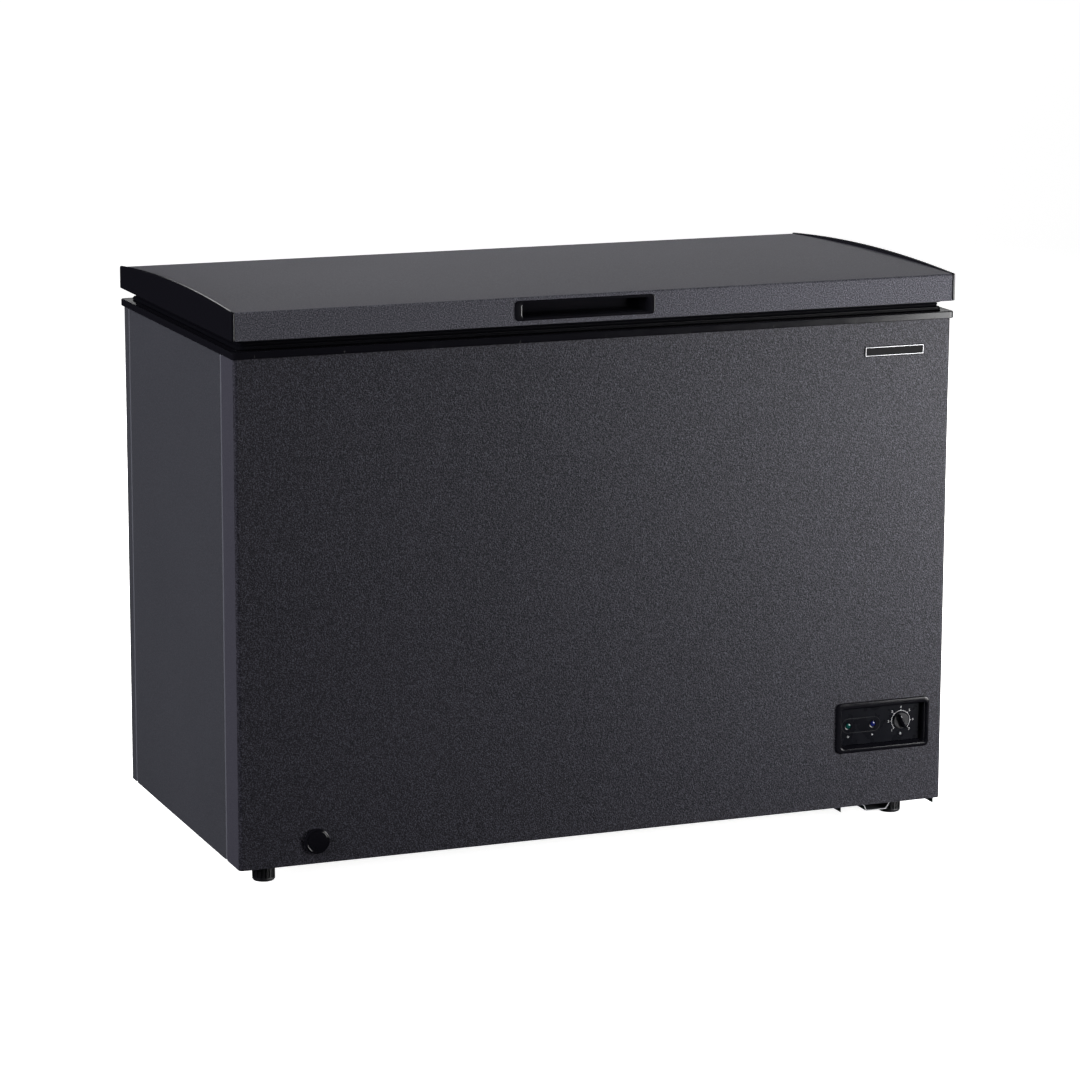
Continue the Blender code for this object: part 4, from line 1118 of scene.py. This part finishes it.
fascia_film = material("fascia_film", fascia_look)
dial_low, dial_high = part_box("thermostat_knob")
DIAL = centre_of((dial_low, dial_high), 0, 2)
LAMPS = [centre_of(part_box(f"{label}_lens"), 0, 2) for label in ("power", "run")]
fascia = link("fascia", stack("Y", WINDOW_X, WINDOW_Z, [
    (0.0004, 0.0004, 0.0010, FASCIA + 0.002), (0.0004, 0.0004, 0.0010, FASCIA + 0.0003),
    (0.0007, 0.0007, 0.0008, FASCIA),
]))
carve(fascia, *[prism("hole", arc(spot, radius, 0, 350, 35), "Y", FASCIA - 0.01, FASCIA + 0.01)
                for spot, radius in ((DIAL, 0.0040), (LAMPS[0], 0.0043), (LAMPS[1], 0.0043))])
done(fascia, "cabinet", fascia_film, ["control_fascia"])


def track(outer, inner, low, high, label):
    """A thin closed ring between two outlines."""
    loops = []
    for outline, depth in ((outer, high), (outer, low), (inner, low), (inner, high)):
        loops.append([at("Y", a, b, depth) for a, b in outline])
    return link(label, skin(loops, closed=True))


lamp_x = (LAMPS[0][0] - 0.0125, LAMPS[1][0] + 0.0125)
lamp_z = (LAMPS[0][1] - 0.0112, LAMPS[0][1] + 0.0112)
inner_x = (lamp_x[0] + 0.0004, lamp_x[1] - 0.0004)
inner_z = (lamp_z[0] + 0.0004, lamp_z[1] - 0.0004)
# the window's left edge cuts the outline of the lamp field short
lamp_x = (max(lamp_x[0], WINDOW_X[0] + 0.0012), lamp_x[1])
inner_x = (max(inner_x[0], WINDOW_X[0] + 0.0016), inner_x[1])
field = track(rounded(lamp_x, lamp_z, 0.0108), rounded(inner_x, inner_z, 0.0104),
              FASCIA - 0.00012, FASCIA + 0.0001, "lamp_field_line")
done(field, "cabinet", dull_plastic)


def lens_look(deep, bright):
    def build(g):
        glow = g.noise(260.0, 2.0)
        g.surface(
            Base_Color=g.mix(glow, deep, bright),
            Roughness=0.10 + glow * 0.08,
            Emission_Color=g.mix(glow, deep, bright),
            Emission_Strength=0.05,
        )
    return build


LENSES = (("power", "green_lens", (0.001, 0.020, 0.018), (0.005, 0.085, 0.070)),
          ("run", "blue_lens", (0.002, 0.004, 0.034), (0.010, 0.016, 0.130)))
for (label, slot_name, deep, bright), spot in zip(LENSES, LAMPS):
    look = material(slot_name, lens_look(deep, bright))
    lens = turned(f"{label}_lamp", "Y", spot, [
        (0.0038, FASCIA + 0.004), (0.0040, FASCIA + 0.0036), (0.0040, FASCIA - 0.0002),
        (0.0036, FASCIA - 0.0007), (0.0028, FASCIA - 0.0010), (0.0016, FASCIA - 0.0012),
        (0.0004, FASCIA - 0.0012),
    ])
    done(lens, "cabinet", look, [f"{label}_lens"])
    surround = turned(f"{label}_lamp_ring", "Y", spot, [
        (0.0062, FASCIA + 0.0001), (0.0062, FASCIA - 0.0002), (0.0058, FASCIA - 0.0005),
        (0.0046, FASCIA - 0.0003), (0.0044, FASCIA + 0.0001),
    ], closed=True)
    done(surround, "cabinet", gloss_plastic)


def print_white(g):
    ink = g.noise(1200.0, 2.0)
    g.surface(Base_Color=g.mix(ink, (0.52, 0.53, 0.55), (0.72, 0.73, 0.75)),
              Roughness=0.5 + ink * 0.1)


white_ink = material("white_print", print_white)
PRINT_LOW, PRINT_HIGH = FASCIA - 0.00008, FASCIA + 0.00004
CAP_HEIGHT = 0.70  # of a figure, as a part of the font's size
FIGURE_HEIGHT, MARK_DROP = 0.0036, 0.0168


def joined(name, items):
    """Several shapes as one piece."""
    work = bmesh.new()
    for item in items:
        work.from_mesh(item.data)
        bpy.data.objects.remove(item, do_unlink=True)
    mesh = bpy.data.meshes.new(name)
    work.to_mesh(mesh)
    work.free()
    return link(name, mesh)


def band_arc(centre, inner, outer, start, end, steps):
    """A curved printed line between two radii."""
    outline = arc(centre, outer, start, end, steps) + arc(centre, inner, end, start, steps)
    return prism("arc", outline, "Y", PRINT_LOW, PRINT_HIGH)


def numeral(digit, centre, height):
    """A printed figure, as a solid a few hundredths thick."""
    curve = bpy.data.curves.new(f"figure_{digit}", "FONT")
    curve.body = str(digit)
    curve.size = height / CAP_HEIGHT
    curve.align_x, curve.align_y = "CENTER", "CENTER"
    curve.extrude = (PRINT_HIGH - PRINT_LOW) / 2
    item = link(f"figure_{digit}", curve)
    graph = bpy.context.evaluated_depsgraph_get()
    mesh = bpy.data.meshes.new_from_object(item.evaluated_get(graph))
    bpy.data.objects.remove(item, do_unlink=True)
    place = Matrix.Translation((centre[0], (PRINT_LOW + PRINT_HIGH) / 2, centre[1]))
    mesh.transform(place @ Matrix.Rotation(math.pi / 2, 4, "X"))
    return link(f"figure_{digit}", mesh)


DIAL_ARC, DIAL_TICK, DIAL_FIGURE = 0.0153, 0.0170, 0.0206
marks = [band_arc(DIAL, DIAL_ARC - 0.00028, DIAL_ARC + 0.00028, 225, -45, 72)]
for step in range(8):
    angle = 270 - 45 * step
    near = math.radians(angle)
    marks.append(numeral(step, (DIAL[0] + DIAL_FIGURE * math.cos(near),
                                DIAL[1] + DIAL_FIGURE * math.sin(near)), FIGURE_HEIGHT))
    if step:
        marks.append(band_arc(DIAL, DIAL_ARC + 0.0003, DIAL_TICK, angle - 1.3, angle + 1.3, 2))
power_mark = (LAMPS[0][0], LAMPS[0][1] - MARK_DROP)
marks.append(band_arc(power_mark, 0.0011, 0.0015, 120, 420, 24))
marks.append(band_arc((power_mark[0], power_mark[1] - 0.0004), 0.0008, 0.0022, 82, 98, 2))
run_mark = (LAMPS[1][0], LAMPS[1][1] - MARK_DROP)
marks.append(prism("mark", [(run_mark[0] - 0.0011, run_mark[1] - 0.0014),
                            (run_mark[0] + 0.0016, run_mark[1]),
                            (run_mark[0] - 0.0011, run_mark[1] + 0.0014)],
                   "Y", PRINT_LOW, PRINT_HIGH))
done(joined("dial_marks", marks), "cabinet", white_ink, sharp=20)


# --- Thermostat knob -------------------------------------------------------------------------
# A round black disc with a wedge grip across it; the grip's pointed end shows the setting. Its
# shaft goes through the fascia into the thermostat.

KNOB_LEAN = math.radians(25)
knob_disc = turned("dial_disc", "Y", DIAL, [
    (0.0028, dial_high[1]), (0.0028, FASCIA - 0.0003), (0.0120, FASCIA - 0.0003),
    (0.0124, FASCIA - 0.0006), (0.0124, FASCIA - 0.0018), (0.0118, FASCIA - 0.0026),
    (0.0104, FASCIA - 0.0027), (0.0010, FASCIA - 0.0022),
], 56)
done(knob_disc, "knob", dull_plastic, ["thermostat_knob"])
grip_rows = (  # half width at the tail, at the tip, tip height and depth
    (0.0036, 0.0010, 0.0116, FASCIA - 0.0020), (0.0034, 0.0009, 0.0114, FASCIA - 0.0060),
    (0.0022, 0.0006, 0.0110, FASCIA - 0.0098), (0.0010, 0.0004, 0.0104, dial_low[1]),
)
loops = []
for tail, tip, reach, depth in grip_rows:
    outline = [(-tip, reach), (-tail * 0.92, 0.0), (-tail, -reach * 0.72), (-tail * 0.6, -reach * 0.93),
               (0.0, -reach), (tail * 0.6, -reach * 0.93), (tail, -reach * 0.72), (tail * 0.92, 0.0),
               (tip, reach)]
    cos_lean, sin_lean = math.cos(KNOB_LEAN), math.sin(KNOB_LEAN)
    loops.append([at("Y", DIAL[0] + x * cos_lean - z * sin_lean,
                     DIAL[1] + x * sin_lean + z * cos_lean, depth) for x, z in outline])
grip = link("dial_grip", skin(loops))
round_edges(grip, 0.00025)
done(grip, "knob", gloss_plastic, sharp=30)
pointer = block((-0.00035, 0.00035), (dial_low[1] + 0.0002, dial_low[1] + 0.0012),
                (0.0074, 0.0103), "dial_pointer")
pointer.data.transform(Matrix.Translation((DIAL[0], -0.00035, DIAL[1]))
                       @ Matrix.Rotation(-KNOB_LEAN, 4, "Y"))
done(pointer, "knob", white_ink)
refined("thermostat_case", "thermostat_body", "cabinet", white, 0.0005)


def board_look(g):
    traces = g.node("ShaderNodeTexVoronoi", {"feature": "DISTANCE_TO_EDGE"},
                    {"Vector": g.place(), "Scale": 420.0}, out="Distance")
    line = traces < 0.06
    g.surface(Base_Color=g.mix(line, (0.010, 0.100, 0.035), (0.090, 0.220, 0.060)),
              Roughness=0.42 - line * 0.14, Normal=g.bump(line, 0.00005, 0.5))


refined("lamp_board", "indicator_board", "cabinet", material("circuit_board", board_look),
        0.0002)


# --- Cooling circuit and compressor bay ------------------------------------------------------
# A hermetic compressor stands on rubber grommets at the right. Copper tube leads from it to the
# coils that are bonded to the sheets and to the tub, inside the foam.

def drawn_metal(deep, bright, dull):
    """Drawn metal tube with handling marks and light tarnish."""
    def build(g):
        tarnish = g.noise(24.0, 4.0, 0.6)
        scuff = g.noise(380.0, 2.0)
        g.surface(Base_Color=g.mix(tarnish, deep, bright), Metallic=1.0,
                  Roughness=dull + tarnish * 0.22 - scuff * 0.06, Normal=g.bump(scuff, 0.0001, 0.2))
    return build


copper = material("copper_tube", drawn_metal((0.40, 0.15, 0.07), (0.72, 0.36, 0.22), 0.18))
aluminium = material("aluminium_tube", drawn_metal((0.50, 0.50, 0.52), (0.74, 0.74, 0.76), 0.28))


def black_enamel(g):
    peel = g.noise(120.0, 2.0)
    dust = g.noise(14.0, 4.0)
    g.surface(Base_Color=g.mix(dust, (0.006, 0.006, 0.007), (0.018, 0.018, 0.020)),
              Roughness=0.20 + dust * 0.18, Normal=g.bump(peel, 0.0004, 0.3))


enamel = material("black_enamel", black_enamel)


def foam_look(g):
    cells = g.node("ShaderNodeTexVoronoi", {"feature": "F1"}, {"Vector": g.place(), "Scale": 700.0},
                   out="Distance")
    shade = g.noise(9.0, 3.0)
    g.surface(Base_Color=g.mix(shade, (0.62, 0.54, 0.34), (0.78, 0.71, 0.50)),
              Roughness=0.78 + cells * 0.15, Normal=g.bump(cells, 0.0006, 0.6))


foam = material("insulating_foam", foam_look)
for name in ("cabinet_foam", "lid_foam"):
    nodes[name].data.materials.clear()
    nodes[name].data.materials.append(foam)

for name, look, slot_name in (
        ("evaporator_coil", aluminium, "aluminium_tube"), ("condenser_coil", copper, "copper"),
        ("suction_tube", copper, "copper"), ("discharge_tube", copper, "copper"),
        ("capillary_tube", copper, "copper")):
    refined(f"{name}_run", name, "cabinet", look, sharp=65)
refined("bay_wall", "machine_room_partition", "cabinet", zinc)
refined("start_relay_cover", "relay_cover", "cabinet", dull_plastic, 0.0012)

can_low, can_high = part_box("compressor")
CAN = centre_of((can_low, can_high), 0, 1)
CAN_RADIUS, CAN_TOP, CAN_FOOT = 0.068, can_high[2], can_low[2]
dome = [(0.001, CAN_TOP), (0.014, CAN_TOP - 0.0004)]
dome += [(0.014 + 0.054 * math.sin(math.radians(a)),
          CAN_TOP - 0.050 + 0.0496 * math.cos(math.radians(a))) for a in range(12, 91, 6)]
dome += [(CAN_RADIUS, 0.1370), (0.0697, 0.1358), (0.0700, 0.1340), (0.0700, 0.1316),
         (0.0692, 0.1304), (CAN_RADIUS, 0.1296), (0.0672, 0.0760)]
dome += [(0.0420 + 0.0252 * math.cos(math.radians(a)), 0.0760 - 0.0268 * math.sin(math.radians(a)))
         for a in range(10, 91, 10)]
dome += [(0.001, CAN_FOOT + 0.0031)]
shell = turned("compressor_shell", "Z", CAN, dome, 64)
feet_plate = link("feet", stack("Z", (CAN[0] - 0.070, CAN[0] + 0.070),
                                (CAN[1] - 0.062, CAN[1] + 0.062), [
    (0.0, 0.0, 0.012, CAN_FOOT), (0.0, 0.0, 0.012, CAN_FOOT + 0.0026),
    (0.0004, 0.0004, 0.0116, CAN_FOOT + 0.0030)]))
done(joined("compressor_can", [shell, feet_plate]), "cabinet", enamel, ["compressor"],
     sharp=45)
for number in range(1, 5):
    low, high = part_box(f"compressor_grommet_{number}")
    centre = centre_of((low, high), 0, 1)
    z = low[2]
    grommet = turned(f"grommet_{number}", "Z", centre, [
        (0.0020, high[2]), (0.0076, high[2]), (0.0090, high[2] - 0.0016), (0.0094, z + 0.0130),
        (0.0078, z + 0.0108), (0.0070, z + 0.0088), (0.0078, z + 0.0068), (0.0094, z + 0.0048),
        (0.0094, z + 0.0012), (0.0086, z), (0.0020, z),
    ], 32)
    done(grommet, "cabinet", rubber, [f"compressor_grommet_{number}"])
drier_low, drier_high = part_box("filter_drier")
drier_spot = centre_of((drier_low, drier_high), 0, 1)
top, bottom = drier_high[2], drier_low[2]
drier = turned("drier", "Z", drier_spot, [
    (0.0010, top), (0.0030, top - 0.0004), (0.0030, top - 0.0070), (0.0042, top - 0.0092),
    (0.0068, top - 0.0125), (0.0080, top - 0.0155), (0.0080, bottom + 0.0165),
    (0.0068, bottom + 0.0105), (0.0042, bottom + 0.0075), (0.0030, bottom + 0.0060),
    (0.0030, bottom), (0.0010, bottom),
], 36)
done(drier, "cabinet", copper, ["filter_drier"])


# --- Side louvres ----------------------------------------------------------------------------
# A black moulded grille clips into the right side sheet and lets the compressor bay breathe.

grille_x = (grille_low[0], grille_high[0])
grille_y, grille_z = (grille_low[1], grille_high[1]), (grille_low[2], grille_high[2])
behind = SHELL_X + 0.0003
frame_rows = [
    (0.0063, 0.0063, 0.003, grille_x[0]), (0.0063, 0.0063, 0.003, behind),
    (0.0, 0.0, 0.006, behind), (0.0, 0.0, 0.006, grille_x[1] - 0.0008),
    (0.0006, 0.0006, 0.0055, grille_x[1]), (0.0118, 0.0118, 0.004, grille_x[1]),
    (0.0130, 0.0130, 0.003, grille_x[1] - 0.0010), (0.0130, 0.0130, 0.003, grille_x[0]),
]
vent = link("vent_frame", stack("X", grille_y, grille_z, frame_rows, closed=True))
done(vent, "cabinet", dull_plastic, ["side_vent_grille"])
LOUVRES, FRAME_WIDTH = 10, 0.0118
louvre_z = grille_z[0] + FRAME_WIDTH
louvre_pitch = (grille_z[1] - grille_z[0] - 2 * FRAME_WIDTH) / LOUVRES
louvre = prism("vent_louvres", [
    (grille_x[1] - 0.0012, louvre_z), (grille_x[1] - 0.0004, louvre_z + 0.0006),
    (grille_x[0] + 0.0008, louvre_z + louvre_pitch),
    (grille_x[0], louvre_z + louvre_pitch - 0.0008),
], "Y", grille_y[0] + 0.0126, grille_y[1] - 0.0126)
repeat(louvre, dull_plastic, LOUVRES, (0.0, 0.0, louvre_pitch))
done(louvre, "cabinet", dull_plastic, sharp=20)


# --- Rear cover, screws and gland ------------------------------------------------------------
# A slotted galvanised cover closes the compressor bay. Four screws hold it, and a rubber gland
# guards the hole for the mains lead.

cover_low, cover_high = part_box("rear_cover")
SLOTS, SLOT_PITCH, SLOT_FIRST = 6, 0.020, 0.124
gland_low, gland_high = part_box("cord_gland")
GLAND = centre_of((gland_low, gland_high), 0, 2)


def stadium(x, z, radius):
    """A slot with round ends."""
    return arc((x[1] - radius, z), radius, -90, 90, 10) + arc((x[0] + radius, z), radius, 90, 270, 10)


cover = link("slotted_cover", stack("Y", (cover_low[0], cover_high[0]), (cover_low[2], cover_high[2]), [
    (0.0, 0.0, 0.004, cover_low[1]), (0.0, 0.0, 0.004, cover_high[1] - 0.0002),
    (0.0002, 0.0002, 0.0038, cover_high[1])]))
cutters = [prism("slot", stadium((0.412, 0.532), SLOT_FIRST + i * SLOT_PITCH, 0.0039), "Y",
                 cover_low[1] - 0.01, cover_high[1] + 0.01) for i in range(SLOTS)]
carve(cover, *cutters, prism("hole", arc(GLAND, 0.0080, 0, 350, 35), "Y", cover_low[1] - 0.01,
                             cover_high[1] + 0.01))
done(cover, "cabinet", zinc, ["rear_cover"])


def screw_head(name, axis, centre, seat, top, radius):
    """A pan-head screw with a cross recess, standing from its seat to its top."""
    rise = top - seat
    rows = [(radius, seat), (radius, seat + 0.30 * rise), (radius * 0.93, seat + 0.62 * rise),
            (radius * 0.76, seat + 0.86 * rise), (radius * 0.45, seat + 0.98 * rise),
            (radius * 0.10, top)]
    head = turned(name, axis, centre, rows, 28)
    wide, narrow = radius * 0.58, radius * 0.15
    for half_a, half_b in ((wide, narrow), (narrow, wide)):
        outline = [(centre[0] + a * half_a, centre[1] + b * half_b)
                   for a, b in ((-1, -1), (1, -1), (1, 1), (-1, 1))]
        low, high = sorted((seat + 0.35 * rise, top + rise))
        carve(head, prism("cross", outline, axis, low, high))
    return head


first_low, first_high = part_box("rear_cover_screw_1")
last_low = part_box("rear_cover_screw_4")[0]
first = centre_of((first_low, first_high), 0, 2)
span_x, span_z = last_low[0] - first_low[0], last_low[2] - first_low[2]
cover_screws = screw_head("cover_screws", "Y", first, first_low[1], first_high[1], 0.0032)
repeat(cover_screws, brushed_metal, 2, (span_x, 0.0, 0.0))
repeat(cover_screws, brushed_metal, 2, (0.0, 0.0, span_z))
done(cover_screws, "cabinet", brushed_metal, [f"rear_cover_screw_{n}" for n in range(1, 5)])
gy0, gy1 = gland_low[1], gland_high[1]
flange = SHELL_BACK + 0.0016
gland = turned("lead_gland", "Y", GLAND, [
    (0.0066, gy0), (0.0078, gy0 + 0.0012), (0.0078, flange), (0.0115, flange),
    (0.0115, flange + 0.0018), (0.0109, flange + 0.0024), (0.0078, flange + 0.0024),
    (0.0074, gy1 - 0.0060), (0.0066, gy1 - 0.0056), (0.0066, gy1 - 0.0042),
    (0.0072, gy1 - 0.0038), (0.0064, gy1 - 0.0006), (0.0056, gy1), (0.0038, gy1), (0.0036, gy0),
], 40, closed=True)
done(gland, "cabinet", rubber, ["cord_gland"])


# --- Hinges ----------------------------------------------------------------------------------
# Two sprung hinges stand on the cabinet's back. Each has a folded bracket, a pin, a lever that
# is screwed to the lid, and a coil spring that takes the lid's weight.

def spiral(g, given):
    """A coil spring of round wire that stands along Z."""
    path = g.node("GeometryNodeCurveSpiral", {}, {
        "Resolution": 24, "Rotations": given["Turns"], "Start Radius": given["Radius"],
        "End Radius": given["Radius"], "Height": given["Height"]})
    section = g.node("GeometryNodeCurvePrimitiveCircle", {"mode": "RADIUS"},
                     {"Resolution": 10, "Radius": given["Wire"]})
    coil = g.node("GeometryNodeCurveToMesh", {},
                  {"Curve": path, "Profile Curve": section, "Fill Caps": True})
    return g.node("GeometryNodeTransform", {},
                  {"Geometry": coil, "Translation": given["Foot"]})


SPRING_TURNS = 15.0
SPRING_WIRE = 0.0011
BRACKET_GAUGE, LEVER_GAUGE = 0.0015, 0.0015
BRACKET_SCREW_Z, BRACKET_SCREWS_APART = 0.6600, (0.031, 0.0940)
LEVER_SCREW_Z, LEVER_SCREWS_APART = 0.8120, 0.019
for side in ("left", "right"):
    refined(f"hinge_{side}_bracket", f"hinge_bracket_{side}", "cabinet", zinc,
            0.00035)
    refined(f"hinge_{side}_lever", f"hinge_lever_{side}", "lid", zinc, 0.00035)
    pin_low, pin_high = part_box(f"hinge_pin_{side}")
    hinge_line = centre_of((pin_low, pin_high), 1, 2)
    middle_x = (pin_low[0] + pin_high[0]) / 2
    pin = turned(f"hinge_{side}_pin", "X", hinge_line, [
        (0.0012, pin_low[0]), (0.0018, pin_low[0] + 0.0002), (0.0020, pin_low[0] + 0.0006),
        (0.0020, pin_high[0] - 0.0006), (0.0018, pin_high[0] - 0.0002), (0.0012, pin_high[0]),
    ], 24)
    done(pin, "cabinet", brushed_metal, [f"hinge_pin_{side}"])
    coil_low, coil_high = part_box(f"hinge_spring_{side}")
    coil = link(f"hinge_{side}_spring", bpy.data.meshes.new("coil"))
    grow(coil, f"spring_{side}", spiral, brushed_metal, Turns=SPRING_TURNS,
         Radius=(coil_high[0] - coil_low[0]) / 2 - SPRING_WIRE, Wire=SPRING_WIRE,
         Height=coil_high[2] - coil_low[2] - 2 * SPRING_WIRE,
         Foot=(middle_x, (coil_low[1] + coil_high[1]) / 2, coil_low[2] + SPRING_WIRE))
    done(coil, "cabinet", brushed_metal, [f"hinge_spring_{side}"], sharp=60)
    plate_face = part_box(f"hinge_bracket_{side}")[0][1] + BRACKET_GAUGE
    apart_x, apart_z = BRACKET_SCREWS_APART
    fixings = screw_head(f"hinge_{side}_screws", "Y", (middle_x - apart_x / 2, BRACKET_SCREW_Z),
                         plate_face, plate_face + 0.0021, 0.0030)
    repeat(fixings, brushed_metal, 2, (apart_x, 0.0, 0.0))
    repeat(fixings, brushed_metal, 2, (0.0, 0.0, apart_z))
    done(fixings, "cabinet", brushed_metal)
    lever_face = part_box(f"hinge_lever_{side}")[0][1] + LEVER_GAUGE
    fixings = screw_head(f"hinge_{side}_lid_screws", "Y",
                         (middle_x - LEVER_SCREWS_APART / 2, LEVER_SCREW_Z), lever_face,
                         lever_face + 0.0019, 0.0028)
    repeat(fixings, brushed_metal, 2, (LEVER_SCREWS_APART, 0.0, 0.0))
    done(fixings, "lid", brushed_metal)
